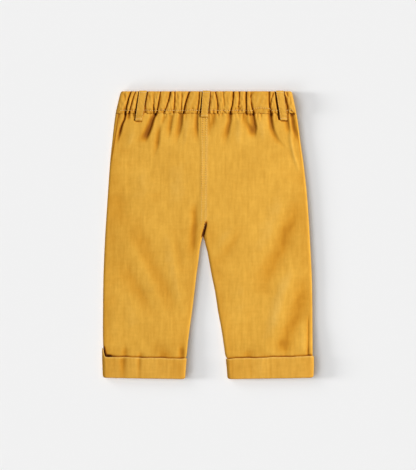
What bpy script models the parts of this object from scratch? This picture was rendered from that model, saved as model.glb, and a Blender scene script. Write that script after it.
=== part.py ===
"""A baby's linen trousers, laid flat with the back upwards.

Metres and +Z up once built; the tables and sizes below are in millimetres, and MM turns them to metres.
The trousers lie on the plane z = 0, the waist towards +Y and the hems towards -Y. Left is the wearer's
left, towards -X, as seen from behind. Every piece that is cut and sewn is one closed wall of cloth, set
0.3 mm from its neighbours: four leg panels, the elasticated waistband's back and front, three belt loops,
and the back and front halves of the two turn-ups.

Each leg is a flattened tube. At any y it has an outer edge and an inner edge, an underside and a top, and
it rolls over at its edges; the panels, the waistband and the turn-ups are all stretches of such a skin.
"""

import math
from collections import namedtuple

import bmesh
import bpy
from mathutils import Vector

MM = 0.001
LEFT, RIGHT = -1, 1
UP, DOWN = 1, -1

# Cloth, in millimetres. The waistband's wall holds two layers and the elastic, a loop's four layers.
PANEL_WALL = 1.2
BAND_WALL = 2.6
TURNUP_WALL = 1.2
LOOP_WALL = 1.6
SEAM_GAP = 0.3

# Places along Y.
BAND_TOP = 179.4
BAND_SEAM = 152.0
CROTCH_TOP = 22.0  # the seat seam starts to sink between the legs here
CROTCH_BOTTOM = -2.0  # below it the legs are apart
TURNUP_TOP = -153.0
HEM = -180.0
PANEL_HEM = HEM + PANEL_WALL + 2 * SEAM_GAP

# Heights and rolled edges.
LEG_TOP = 5.0  # above what the leg lies on
SEAT_RISE = 0.6  # the seat lies higher where the waistband holds it up
CROWN = 0.6  # how much higher the middle of a leg lies than its edges
CROWN_REACH = 18.0
EDGE_ROLL = 3.6
BAND_TOP_Z = 8.8
BAND_PINCH = 1.2  # the seam draws the waistband down
PINCH_REACH = 7.0
NEST = TURNUP_WALL + SEAM_GAP  # how far a turn-up's skin lies outside the leg's
LIFT_START = -131.0  # below here the leg rises from the floor into the turn-up's lower half
LIFT_RUN = 10.0

# The felled seat seam, a raised band along the left back panel's inner edge.
FELL_WIDTH = 8.2
FELL_RISE = 0.5
FELL_BOTTOM = 6.0

# The outline of the body and legs as laid: outer and inner edges at each y.
Section = namedtuple("Section", "y left_edge left_inner right_inner right_edge")
BODY = (
    Section(152.0, -115.6, -0.6, -0.3, 110.6),
    Section(138.0, -117.5, -0.8, -0.5, 112.8),
    Section(115.0, -120.0, -1.0, -0.7, 115.8),
    Section(93.0, -122.3, -1.3, -1.0, 119.0),
    Section(70.0, -124.0, -1.6, -1.3, 121.8),
    Section(48.0, -125.5, -1.8, -1.5, 124.0),
    Section(25.0, -127.0, -2.0, -1.7, 125.7),
    Section(16.0, -127.6, -2.4, -2.0, 126.3),
    Section(8.0, -128.1, -3.9, -3.5, 126.8),
    Section(0.0, -128.6, -6.2, -4.7, 127.2),
    Section(-12.0, -129.2, -9.2, -3.2, 127.9),
    Section(-20.0, -129.6, -10.6, -1.0, 128.3),
    Section(-35.0, -130.2, -12.3, 1.8, 129.1),
    Section(-50.0, -130.8, -14.4, 4.5, 129.8),
    Section(-72.0, -131.2, -17.0, 9.0, 130.3),
    Section(-95.0, -131.4, -19.8, 12.5, 130.6),
    Section(-117.0, -131.5, -22.9, 16.6, 130.7),
    Section(-140.0, -130.9, -25.7, 20.1, 130.8),
    Section(-148.0, -130.8, -26.9, 21.6, 130.8),
    Section(-154.0, -130.7, -28.5, 24.1, 130.7),
    Section(-166.0, -130.4, -29.3, 25.0, 130.7),
    Section(-180.0, -129.9, -30.2, 26.1, 130.3),
)
BAND = (
    Section(179.4, -106.9, 0.0, 0.0, 102.6),
    Section(178.0, -108.4, 0.0, 0.0, 104.1),
    Section(175.0, -110.2, 0.0, 0.0, 105.5),
    Section(152.0, -115.6, 0.0, 0.0, 110.6),
)
TURNUPS = (
    Section(-142.0, -132.4, -26.2, 22.0, 132.4),
    Section(-153.0, -132.4, -26.4, 22.1, 132.4),
    Section(-166.0, -132.0, -27.6, 23.3, 132.4),
    Section(-180.0, -131.5, -28.5, 24.4, 131.9),
)

# How far in from the outer edge the side seam shows on the top.
SideSeam = namedtuple("SideSeam", "y left right")
SIDE_SEAMS = (
    SideSeam(179.4, 2.0, 0.7),
    SideSeam(178.0, 3.3, 2.0),
    SideSeam(174.0, 3.5, 2.1),
    SideSeam(138.0, 4.0, 2.0),
    SideSeam(93.0, 1.6, 2.6),
    SideSeam(50.0, 1.2, 3.8),
    SideSeam(0.0, 1.2, 4.3),
    SideSeam(-180.0, 1.2, 4.3),
)

# Gathers of the waistband's back: the groove's place at the top edge and at the seam, its bow, and depths.
Gather = namedtuple("Gather", "top_x seam_x bow top_depth seam_depth")
BACK_GATHERS = (
    Gather(-95.8, -103.0, -1.2, 2.6, 3.0),
    Gather(-91.0, -98.6, -0.6, 2.0, 2.2),
    Gather(-85.8, -90.0, 0.0, 2.0, 2.8),
    Gather(-74.6, -79.2, -0.8, 2.2, 1.6),
    Gather(-67.6, -67.8, 0.0, 0.3, 1.6),
    Gather(-58.9, -64.2, 0.0, 2.4, 2.8),
    Gather(-46.8, -55.8, 0.6, 2.8, 1.4),
    Gather(-41.4, -44.2, 0.9, 1.8, 1.6),
    Gather(-33.0, -33.8, 0.4, 0.8, 1.0),
    Gather(-22.8, -30.9, -1.0, 2.6, 2.8),
    Gather(-10.6, -14.0, 0.3, 2.0, 2.4),
    Gather(-6.9, -9.4, 0.3, 2.2, 2.6),
    Gather(3.5, 0.9, -0.5, 1.8, 1.6),
    Gather(9.2, 11.6, 1.6, 1.8, 1.8),
    Gather(18.4, 20.0, 0.4, 1.0, 0.5),
    Gather(31.6, 27.6, 1.0, 2.4, 2.6),
    Gather(38.8, 34.6, 0.8, 2.2, 1.4),
    Gather(47.9, 47.3, 0.2, 3.0, 2.8),
    Gather(51.8, 56.8, 0.4, 1.0, 2.2),
    Gather(76.6, 78.6, -0.8, 2.2, 2.6),
    Gather(84.4, 88.4, -0.6, 2.4, 3.0),
    Gather(94.2, 100.6, 0.8, 1.6, 1.8),
)
GATHER_INNER_SHARE = 0.5  # the casing's inside follows the back's gathers by this share
# The hidden front is gathered by the same elastic, in a plain even rhythm.
FRONT_GATHERS = 20
FRONT_DEPTH = 1.3
FRONT_LAND = 0.25  # the ridges are flattened by this much where they rest

# The largest folds that the gathers throw down into the seat.
Fold = namedtuple("Fold", "seam_x reach drift curve depth width spread")
FOLDS = {
    LEFT: (
        Fold(-12.9, 36.0, 0.4, 1.0, 2.2, 1.8, 2.4),
        Fold(-30.6, 30.0, -5.0, 1.2, 2.2, 2.0, 3.2),
        Fold(-42.8, 30.0, -6.6, 1.0, 2.0, 2.0, 3.2),
        Fold(-57.0, 46.0, -9.6, 1.2, 1.7, 1.9, 2.8),
        Fold(-64.4, 34.0, -13.2, 1.0, 2.9, 2.3, 4.2),
        Fold(-103.0, 46.0, -11.4, 1.0, 2.4, 1.7, 2.4),
    ),
    RIGHT: (
        Fold(7.6, 26.0, -1.6, 1.0, 1.7, 2.0, 2.4),
        Fold(28.6, 30.0, -5.4, 1.4, 2.2, 2.0, 3.6),
        Fold(47.4, 16.0, 4.8, 1.3, 2.3, 1.6, 1.8),
        Fold(57.6, 26.0, 1.6, 1.0, 2.7, 1.8, 2.6),
        Fold(79.0, 54.0, 21.0, 2.0, 2.8, 2.0, 3.6),
        Fold(102.6, 36.0, 5.6, 1.2, 2.0, 1.6, 2.2),
    ),
}

# Broad soft ridges (height above 0) and troughs (below 0) of the legs, along a bowed line.
Wave = namedtuple("Wave", "x0 y0 x1 y1 bow height width")
WAVES = (
    Wave(-49.0, 12.0, -22.0, -92.0, 6.0, 0.8, 5.5),
    Wave(-84.0, 28.0, -42.0, -90.0, 3.0, -0.9, 8.0),
    Wave(-102.0, 6.0, -57.0, -104.0, 3.0, 0.6, 6.5),
    Wave(-110.0, -28.0, -66.0, -98.0, -2.0, -0.6, 7.0),
    Wave(-16.0, 42.0, -21.0, -62.0, -2.5, -1.2, 3.6),
    Wave(120.0, 52.0, 76.0, -62.0, 3.0, -1.2, 7.5),
    Wave(78.0, -50.0, 70.0, -118.0, 2.0, -0.7, 6.0),
    Wave(112.0, -34.0, 78.0, -124.0, 1.0, 0.9, 6.0),
    Wave(125.0, -54.0, 94.0, -146.0, -6.0, -1.2, 7.0),
    Wave(50.0, 18.0, 14.0, -38.0, 0.0, -0.7, 5.0),
    Wave(-107.0, 62.0, -107.0, 4.0, 0.0, -0.6, 8.0),
    Wave(-66.0, 62.0, -62.0, 30.0, 0.0, -0.5, 8.0),
)
WAVE_ENDS = 0.3  # the share of its length over which a wave fades at each end

# Belt loops: narrow strips from the waistband's top edge to just below its seam.
BeltLoop = namedtuple("BeltLoop", "name top_x bottom_x bottom_y")
BELT_LOOPS = (
    BeltLoop("belt_loop_left", -80.4, -86.6, 142.6),
    BeltLoop("belt_loop_centre", -1.8, -4.6, 147.2),
    BeltLoop("belt_loop_right", 89.4, 95.2, 143.2),
)
LOOP_WIDTH = 9.4
LOOP_TOP = 180.0
LOOP_BRIDGE = 0.9  # it arches clear of the waistband between its two ends

# Creases of the back halves of the turn-ups: x, depth and half width.
Crease = namedtuple("Crease", "x depth width")
TURNUP_CREASES = (
    Crease(-105.0, 0.45, 2.6),
    Crease(-85.0, 0.35, 2.0),
    Crease(-60.0, 0.2, 4.0),
    Crease(48.0, 0.2, 4.0),
    Crease(84.0, 0.25, 4.0),
)
CORNER_PEAK = 9.6  # the left turn-up's outer corner stands up by this much
CORNER_REACH = 3.0
TURNUP_SLANT = {LEFT: 0.024, RIGHT: 0.030}  # its top edge rises towards the outer edge
# Its rows from the free edge to the fold: the share of the way down, and how far the edge rounds in, as a
# share of the wall. Then the fold itself, where the wall deepens inwards to close under the leg's end.
TurnUpRow = namedtuple("TurnUpRow", "share rounding")
TURNUP_ROWS = (TurnUpRow(0.0, 0.2), TurnUpRow(0.03, 0.0), TurnUpRow(0.5, 0.0), TurnUpRow(1.0, 0.0))
HemRow = namedtuple("HemRow", "y rounding deepening")
HEM_ROWS = (
    HemRow(PANEL_HEM - SEAM_GAP, 0.0, 1.25),
    HemRow(HEM + 0.5, 0.3, 1.15),
    HemRow(HEM, 0.8, 0.65),
)

CLOTHS = {
    "leg_linen": dict(base=(0.74, 0.40, 0.070, 1.0), roughness=0.86),
    "waistband_linen": dict(base=(0.72, 0.38, 0.062, 1.0), roughness=0.86),
    "belt_loop_linen": dict(base=(0.75, 0.41, 0.075, 1.0), roughness=0.84),
    "turn_up_linen": dict(base=(0.70, 0.36, 0.058, 1.0), roughness=0.88),
}

Form = namedtuple("Form", "sections underside top roll inner_roll crown relief seam_shift")
GRID_STEP = 10.0  # the widest that a panel's columns stand apart
SHOULDER = 1.2  # a fold's outer columns stand this many of its half widths from its middle
FOLD_ROOM = 3.2
RIM_SHARE = 0.42  # how far each face of the waistband rounds in at its top edge, as a share of the wall
ROLL_STEPS = (0.0, 30.0, 60.0, 90.0)


def ease(t):
    """0 below 0, 1 above 1, and smooth between."""
    t = min(1.0, max(0.0, t))
    return t * t * (3 - 2 * t)


def mix(a, b, t):
    return a + (b - a) * t


def at(table, column, y):
    """A column of a table at any y, on a smooth curve through its rows, which run from high y to low."""
    last = len(table) - 1
    k = next((i for i in range(last) if y >= table[i + 1].y), last - 1)
    low, high = table[k + 1], table[k]
    t = min(1.0, max(0.0, (high.y - y) / (high.y - low.y)))
    before, after = table[max(0, k - 1)], table[min(last, k + 2)]
    start, end = getattr(high, column), getattr(low, column)
    span = high.y - low.y
    slope_in = (end - getattr(before, column)) / (before.y - low.y)
    slope_out = (getattr(after, column) - start) / (high.y - after.y)
    return (
        start * (1 + 2 * t) * (1 - t) ** 2
        + end * t * t * (3 - 2 * t)
        + span * (slope_in * t * (1 - t) ** 2 - slope_out * t * t * (1 - t))
    )


def edge_x(form, side, y):
    return at(form.sections, "left_edge" if side == LEFT else "right_edge", y)


def inner_x(form, side, y):
    return at(form.sections, "left_inner" if side == LEFT else "right_inner", y)


def rolled(distance, roll):
    """Cosine and sine of the place on a rolled edge that lies this far in from it."""
    cosine = 1 - min(1.0, max(0.0, distance / roll))
    return cosine, math.sqrt(1 - cosine * cosine)


def skin(form, side, x, y, facing):
    """The outer point over (x, y) on the top or underside, its outward direction, and its relief."""
    out = side * (edge_x(form, side, y) - x)
    inward = side * (x - inner_x(form, side, y))
    low, high = form.underside(y), form.top(y)
    half = (high - low - SEAM_GAP) / 2
    cos_out, sin_out = rolled(out, form.roll)
    cos_in, sin_in = rolled(inward, form.roll)
    sink = form.inner_roll(y)
    share = sin_out * (1 - sink * (1 - sin_in))
    point = Vector((x, y, (low + high) / 2 + facing * (SEAM_GAP / 2 + half * share)))
    sideways = side * (cos_out - sink * cos_in) / form.roll
    normal = Vector((sideways, 0, facing * share / half)).normalized()
    spread = ease(out / form.roll) * (1 - sink * (1 - ease(inward / form.roll)))
    relief = spread * form.relief(side, x, y, facing)
    if facing == UP:
        rounding = (1 - math.exp(-out / CROWN_REACH)) * (1 - sink * math.exp(-inward / CROWN_REACH))
        relief += form.crown * rounding
    return point, normal, facing * relief


def leg_lift(y):
    """The underside of the leg: on the floor, and up on the turn-up's lower half near the hem."""
    return NEST * ease((LIFT_START - y) / LIFT_RUN)


def leg_top(y):
    return LEG_TOP + leg_lift(y) + SEAT_RISE * ease((y - 105) / 45)


def crotch_sink(y):
    return ease((CROTCH_TOP - y) / (CROTCH_TOP - CROTCH_BOTTOM))


def folding_span(side, y):
    """The x between which a panel's folds may lie, clear of its seams and rolled edges."""
    margin = FELL_WIDTH + 0.9 if side == LEFT else EDGE_ROLL
    near = inner_x(LEGS, side, y) + side * (margin + FOLD_ROOM)
    return near, edge_x(LEGS, side, y) - side * (EDGE_ROLL + FOLD_ROOM)


def fold_place(fold, side, y):
    """A fold's middle at y and how far along it y is; past its end it keeps its share of the panel."""
    t = min(1.0, max(0.0, (BAND_SEAM - y) / fold.reach))
    x = fold.seam_x + fold.drift * t**fold.curve
    end = BAND_SEAM - fold.reach
    if y < end:
        near, far = folding_span(side, end)
        share = min(1.0, max(0.0, (x - near) / (far - near)))
        x = mix(*folding_span(side, y), share)
    return x, t


def wave_height(wave, x, y):
    dx, dy = wave.x1 - wave.x0, wave.y1 - wave.y0
    length = math.hypot(dx, dy)
    t = ((x - wave.x0) * dx + (y - wave.y0) * dy) / length**2
    if not 0 < t < 1:
        return 0.0
    across = ((x - wave.x0) * dy - (y - wave.y0) * dx) / length - wave.bow * 4 * t * (1 - t)
    ends = ease(t / WAVE_ENDS) * ease((1 - t) / WAVE_ENDS)
    return wave.height * ends * math.exp(-((across / wave.width) ** 2))


def leg_relief(side, x, y, facing):
    """Folds, waves and the felled seam of the back panels; the front lies plain on the floor."""
    if facing == DOWN:
        return 0.0
    height = sum(wave_height(wave, x, y) for wave in WAVES)
    for fold in FOLDS[side]:
        middle, t = fold_place(fold, side, y)
        width = mix(fold.width, fold.spread, t)
        height -= fold.depth * (1 - ease((t - 0.4) / 0.6)) * math.exp(-(((x - middle) / width) ** 2))
    if side == LEFT:
        inward = inner_x(LEGS, LEFT, y) - x
        height += FELL_RISE * ease((FELL_WIDTH + 0.5 - inward) / 0.8) * ease((y - FELL_BOTTOM) / 12)
    tucked = ease((TURNUP_TOP + 8 - y) / 8)
    return mix(height, -0.6, tucked)


def gather_lines(gathers, y):
    """(x, depth) of each groove at y, between the waistband's two side edges."""
    t = (BAND_TOP - y) / (BAND_TOP - BAND_SEAM)
    lines = [
        (mix(g.top_x, g.seam_x, t) + g.bow * 4 * t * (1 - t), mix(g.top_depth, g.seam_depth, t))
        for g in gathers
    ]
    return [(edge_x(WAISTBAND, LEFT, y), 0.0), *lines, (edge_x(WAISTBAND, RIGHT, y), 0.0)]


def front_gathers():
    """An even rhythm of grooves for the front, a little uneven in place and depth."""
    made = []
    for k in range(FRONT_GATHERS):
        share = (k + 0.5 + 0.2 * math.sin(2.4 * k)) / FRONT_GATHERS
        depth = FRONT_DEPTH * (1 + 0.25 * math.sin(1.7 * k + 1))
        top = mix(BAND[0].left_edge, BAND[0].right_edge, mix(0.05, 0.95, share))
        seam = mix(BAND[-1].left_edge, BAND[-1].right_edge, mix(0.05, 0.95, share))
        made.append(Gather(top, seam, 0.5 * math.sin(3.1 * k), depth, depth))
    return made


def gather_relief(side, x, y, facing):
    """Puffed ridges between the grooves: 0 on a ridge, and minus its depth in a groove."""
    lines = gather_lines(BACK_GATHERS if facing == UP else FRONT_GATHER_ROWS, y)
    k = next((i for i in range(len(lines) - 1) if x <= lines[i + 1][0]), len(lines) - 2)
    (x0, depth0), (x1, depth1) = lines[k], lines[k + 1]
    s = min(1.0, max(0.0, (x - x0) / (x1 - x0)))
    sharpness = 2.2 + (x1 - x0) / 6
    relief = -mix(depth0, depth1, s) * abs(2 * s - 1) ** sharpness
    return relief if facing == UP else min(0.0, relief + FRONT_LAND)


def band_top(y):
    return BAND_TOP_Z - BAND_PINCH * ease((BAND_SEAM + PINCH_REACH - y) / PINCH_REACH)


def turnup_relief(side, x, y, facing):
    if facing == DOWN:
        return 0.0
    return -sum(c.depth * math.exp(-(((x - c.x) / c.width) ** 2)) for c in TURNUP_CREASES)


def flat_floor(y):
    return 0.0


FRONT_GATHER_ROWS = front_gathers()
LEGS = Form(BODY, leg_lift, leg_top, EDGE_ROLL, crotch_sink, CROWN, leg_relief, 0.0)
WAISTBAND = Form(BAND, flat_floor, band_top, EDGE_ROLL, lambda y: 0.0, 0.0, gather_relief, 0.0)
TURNED = Form(
    TURNUPS,
    flat_floor,
    lambda y: leg_top(HEM) + NEST,
    EDGE_ROLL + NEST,
    lambda y: 1.0,
    CROWN,
    turnup_relief,
    NEST,
)


def material(name, base, roughness):
    made = bpy.data.materials.new(name)
    made.use_nodes = True
    shader = made.node_tree.nodes["Principled BSDF"]
    shader.inputs["Base Color"].default_value = base
    shader.inputs["Roughness"].default_value = roughness
    shader.inputs["Metallic"].default_value = 0.0
    return made


def closed_wall(name, outer, inner, cloth, garment):
    """One closed wall of cloth through two grids of points, rows by columns, given in millimetres."""
    rows, columns = len(outer), len(outer[0])
    wall = bmesh.new()
    bmesh.ops.create_grid(wall, x_segments=columns - 1, y_segments=rows - 1, size=0.5)
    place = wall.verts.layers.int.new("place")
    for vertex in wall.verts:
        column = round((vertex.co.x + 0.5) * (columns - 1))
        row = round((vertex.co.y + 0.5) * (rows - 1))
        vertex[place] = row * columns + column
    for vertex in wall.verts:
        vertex.co = outer[vertex[place] // columns][vertex[place] % columns] * MM
    grown = bmesh.ops.extrude_face_region(wall, geom=wall.faces[:], use_keep_orig=True)
    for vertex in (item for item in grown["geom"] if isinstance(item, bmesh.types.BMVert)):
        vertex.co = inner[vertex[place] // columns][vertex[place] % columns] * MM
    bmesh.ops.recalc_face_normals(wall, faces=wall.faces[:])
    mesh = bpy.data.meshes.new(name)
    wall.to_mesh(mesh)
    wall.free()
    mesh.shade_smooth()
    mesh.set_sharp_from_angle(angle=math.radians(60))
    mesh.materials.append(cloth)
    made = bpy.data.objects.new(name, mesh)
    garment.objects.link(made)


def wall_points(form, side, rows, thickness, inner_share=1.0, rims=None):
    """The outer and inner grids of a wall on a form's skin, through rows of (x, y, facing, seam_x).

    The wall runs along the skin's direction at seam_x, so that the two faces of a seam lie parallel. rims
    gives, for each row, how far its outer and inner points draw together, as shares of the wall there.
    """
    outer, inner = [], []
    for number, row in enumerate(rows):
        draw_out, draw_in = rims[number] if rims else (0.0, 0.0)
        outer.append([])
        inner.append([])
        for x, y, facing, seam_x in row:
            on = side or (LEFT if x < 0 else RIGHT)
            point, _, relief = skin(form, on, x, y, facing)
            normal = skin(form, on, seam_x, y, facing)[1]
            face = point + Vector((0, 0, relief))
            back = point - normal * thickness + Vector((0, 0, relief * inner_share))
            outer[-1].append(face.lerp(back, draw_out))
            inner[-1].append(back.lerp(face, draw_in))
    return outer, inner


def side_seam(form, side, y):
    """The x of the side seam's middle."""
    distance = at(SIDE_SEAMS, "left" if side == LEFT else "right", y) + form.seam_shift
    return edge_x(form, side, y) - side * distance


def roll_arc(roll, angles):
    """Distances in from a rolled edge at these angles round it, in degrees."""
    return [roll * (1 - math.cos(math.radians(angle))) for angle in angles]


def side_wrap(form, side, y):
    """Columns that carry a front piece from under the leg round its outer edge to the side seam on top."""
    edge, seam = edge_x(form, side, y), side_seam(form, side, y)
    angle = math.degrees(math.acos(1 - min(1.0, side * (edge - seam) / form.roll)))
    under = [(edge - side * d, y, DOWN, edge - side * d) for d in roll_arc(form.roll, (90.0, 60.0, 30.0))]
    arc = roll_arc(form.roll, (0.0, 0.35 * angle, 0.65 * angle))
    over = [(edge - side * d, y, UP, edge - side * d) for d in arc]
    return under + over + [(seam + side * SEAM_GAP / 2, y, UP, seam)]


def top_edge(form, side, y):
    """Columns that carry a back piece over the shoulder of the outer edge to the side seam."""
    edge, seam = edge_x(form, side, y), side_seam(form, side, y)
    end = seam - side * SEAM_GAP / 2
    shoulder = side * min(side * edge - form.roll, side * end - 1.2)
    return [(mix(shoulder, end, share), y, UP, mix(shoulder, seam, share)) for share in (0.0, 0.6, 1.0)]


def inner_edge(form, side, y, facing):
    """Columns over the rolled inner edge, which is flat above the crotch."""
    inner = inner_x(form, side, y)
    return [(inner + side * d, y, facing, inner + side * d) for d in roll_arc(form.roll, ROLL_STEPS)]


def between(start, stop, steps):
    """Even columns between two on the same face, without either."""
    places = [mix(start[0], stop[0], k / steps) for k in range(1, steps)]
    return [(x, start[1], start[2], x) for x in places]


def filled(marks, counts):
    """The marks with this many even steps in each gap between them."""
    made = [marks[0]]
    for a, b, steps in zip(marks, marks[1:], counts):
        made += [mix(a, b, k / steps) for k in range(1, steps + 1)]
    return made


def back_columns(side, y, counts=None):
    """The columns that a back panel needs at y, from its inner edge out to its side seam."""
    marks = [column[0] for column in inner_edge(LEGS, side, y, UP)]
    if side == LEFT:
        marks += [inner_x(LEGS, side, y) - FELL_WIDTH, inner_x(LEGS, side, y) - FELL_WIDTH - 0.9]
    for fold in FOLDS[side]:
        middle, t = fold_place(fold, side, y)
        shoulder = SHOULDER * mix(fold.width, fold.spread, t)
        marks += [middle + side * shoulder * share for share in (-1, 0, 1)]
    seam = top_edge(LEGS, side, y)
    marks += [column[0] for column in seam]
    for k in range(len(marks) - 4, 0, -1):  # neighbours stay in order, at least a little apart
        marks[k] = side * min(side * marks[k], side * marks[k + 1] - 0.4)
    if not counts:
        return marks
    return [(x, y, UP, x) for x in filled(marks, counts)][:-1] + [seam[-1]]


def leg_rows():
    """The y of a leg's rows, closest where the gathers' folds run down from the waistband."""
    seat = (BAND_SEAM - SEAM_GAP, 132.0, 106.0, CROTCH_TOP)
    leg = (CROTCH_BOTTOM, LIFT_START, LIFT_START - LIFT_RUN, -148.0, -154.0, PANEL_HEM)
    return filled(seat + leg, (4, 3, 3, 3, 6, 1, 1, 1, 1))


def back_panel(side, name, cloth, garment):
    samples = [back_columns(side, y) for y in (BAND_SEAM, -60.0)]
    gaps = [max(abs(row[k + 1] - row[k]) for row in samples) for k in range(len(samples[0]) - 1)]
    counts = [max(1, math.ceil(gap / GRID_STEP)) for gap in gaps]
    rows = [back_columns(side, y, counts) for y in leg_rows()]
    outer, inner = wall_points(LEGS, side, rows, PANEL_WALL)
    closed_wall(name, outer, inner, cloth, garment)


def front_panel(side, name, cloth, garment):
    rows = []
    for y in leg_rows():
        start, stop = inner_edge(LEGS, side, y, DOWN), side_wrap(LEGS, side, y)
        rows.append(start + between(start[-1], stop[0], 4) + stop)
    outer, inner = wall_points(LEGS, side, rows, PANEL_WALL)
    closed_wall(name, outer, inner, cloth, garment)


def band_rows():
    """The waistband's rows from its rounded top edge to its seam, and how far each draws in."""
    lip = BAND_WALL * 0.7
    rounded = [(BAND_TOP, 1.0), (BAND_TOP - 0.3 * lip, 0.3)]
    return rounded + [(y, 0.0) for y in filled((BAND_TOP - lip, BAND_SEAM), (4,))]


def waistband_back(cloth, garment):
    rows, rims = [], []
    for y, draw in band_rows():
        left, right = top_edge(WAISTBAND, LEFT, y)[-1], top_edge(WAISTBAND, RIGHT, y)[-1]
        lines = [left[0], *[x for x, _ in gather_lines(BACK_GATHERS, y)[1:-1]], right[0]]
        places = [mix(a, b, share) for a, b in zip(lines, lines[1:]) for share in (0.0, 0.22, 0.5, 0.78)]
        rows.append([left] + [(x, y, UP, x) for x in places[1:]] + [right])
        rims.append((RIM_SHARE * draw, RIM_SHARE * draw))
    outer, inner = wall_points(WAISTBAND, None, rows, BAND_WALL, GATHER_INNER_SHARE, rims)
    closed_wall("waistband_back", outer, inner, cloth, garment)


def waistband_front(cloth, garment):
    rows, rims = [], []
    for y, draw in band_rows():
        lines = [x for x, _ in gather_lines(FRONT_GATHER_ROWS, y)[1:-1]]
        places = [mix(a, b, share) for a, b in zip(lines, lines[1:]) for share in (0.0, 0.3, 0.7)]
        middle = [(x, y, DOWN, x) for x in places + [lines[-1]]]
        rows.append(side_wrap(WAISTBAND, LEFT, y)[::-1] + middle + side_wrap(WAISTBAND, RIGHT, y))
        rims.append((RIM_SHARE * draw, RIM_SHARE * draw))
    outer, inner = wall_points(WAISTBAND, None, rows, BAND_WALL, 0.0, rims)
    closed_wall("waistband_front", outer, inner, cloth, garment)


def turn_up_edge(side, x):
    """The y of a turn-up's free top edge over x."""
    out = max(0.0, side * (edge_x(TURNED, side, TURNUP_TOP) - x))
    inward = abs(edge_x(TURNED, side, TURNUP_TOP) - inner_x(TURNED, side, TURNUP_TOP)) - out
    y = TURNUP_TOP - 1.4 + TURNUP_SLANT[side] * inward
    if side == LEFT:
        y += CORNER_PEAK * math.exp(-((out / CORNER_REACH) ** 2))
    return y


def turn_up(side, facing, name, cloth, garment):
    """Half a turn-up, from its free top edge down to the fold that takes in the leg's hem."""
    start = inner_edge(TURNED, side, TURNUP_TOP, facing)
    stop = (top_edge if facing == UP else side_wrap)(TURNED, side, TURNUP_TOP)
    columns = start + between(start[-1], stop[0], 13 if facing == UP else 4) + stop
    near, far = inner_x(TURNED, side, TURNUP_TOP), edge_x(TURNED, side, TURNUP_TOP)

    def row_at(heights):
        """The columns moved to their heights, where they keep their shares of the turn-up's width."""
        row = []
        for (x, _, faces, seam_x), y in zip(columns, heights):
            here = inner_x(TURNED, side, y)
            spread = (edge_x(TURNED, side, y) - here) / (far - near)
            row.append((here + (x - near) * spread, y, faces, here + (seam_x - near) * spread))
        return row

    free_edge = [turn_up_edge(side, column[0]) for column in columns]
    bottom = HEM_ROWS[0].y + 0.05
    rows = [row_at([mix(top, bottom, row.share) for top in free_edge]) for row in TURNUP_ROWS]
    rows += [row_at([row.y] * len(columns)) for row in HEM_ROWS]
    rims = [(row.rounding, row.rounding) for row in TURNUP_ROWS]
    rims += [(row.rounding, -row.deepening) for row in HEM_ROWS]
    outer, inner = wall_points(TURNED, side, rows, TURNUP_WALL, rims=rims)
    closed_wall(name, outer, inner, cloth, garment)


def surface_height(x, y):
    """The height of the trousers' upper surface over (x, y), waistband or seat."""
    form = WAISTBAND if y >= BAND_SEAM else LEGS
    side = LEFT if x < inner_x(LEGS, LEFT, min(y, BAND_SEAM)) + SEAM_GAP / 2 else RIGHT
    point, _, relief = skin(form, side, x, y, UP)
    return point.z + relief


def belt_loop(loop, cloth, garment):
    """A strip that lies on the highest points under it and arches a little between its sewn ends."""
    steps, across = 10, ((-0.5, 0.35), (-0.38, 0.0), (0.38, 0.0), (0.5, 0.35))
    outer, inner = [], []
    for k in range(steps + 1):
        t = k / steps
        y = mix(LOOP_TOP, loop.bottom_y, t)
        x = mix(loop.top_x, loop.bottom_x, t)
        under = [
            surface_height(x + LOOP_WIDTH * share, min(BAND_TOP, y + step))
            for share in (-0.5, -0.25, 0.0, 0.25, 0.5)
            for step in (-4.0, -2.0, 0.0, 2.0, 4.0)
        ]
        rest = max(under) + SEAM_GAP + LOOP_BRIDGE * math.sin(math.pi * t) ** 2
        end = 0.5 if k in (0, steps) else 0.0
        top = rest + LOOP_WALL - end
        outer.append([Vector((x + LOOP_WIDTH * share, y, top - drop)) for share, drop in across])
        inner.append([Vector((x + LOOP_WIDTH * share, y, rest)) for share, drop in across])
    closed_wall(loop.name, outer, inner, cloth, garment)


def main():
    for stale in list(bpy.data.objects):
        bpy.data.objects.remove(stale)
    garment = bpy.data.collections.new("linen_trousers")
    bpy.context.scene.collection.children.link(garment)
    cloth = {name: material(name, **look) for name, look in CLOTHS.items()}
    for side, word in ((LEFT, "left"), (RIGHT, "right")):
        back_panel(side, "back_panel_" + word, cloth["leg_linen"], garment)
        front_panel(side, "front_panel_" + word, cloth["leg_linen"], garment)
        turn_up(side, UP, "turn_up_back_" + word, cloth["turn_up_linen"], garment)
        turn_up(side, DOWN, "turn_up_front_" + word, cloth["turn_up_linen"], garment)
    waistband_back(cloth["waistband_linen"], garment)
    waistband_front(cloth["waistband_linen"], garment)
    for loop in BELT_LOOPS:
        belt_loop(loop, cloth["belt_loop_linen"], garment)


main()
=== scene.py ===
"""A baby's mustard linen trousers, laid flat with the back upwards: the cloth, sewing and light.

Every piece of cloth is a thin shell on the form of its solid in the frame, with the finer creases of the
real cloth. Sizes and tables are in millimetres, and MM turns them to metres. Left is the wearer's left,
towards -X. A crease's places were read off the laid trousers, each in its own sizes.
"""

import math
from collections import namedtuple

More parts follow.
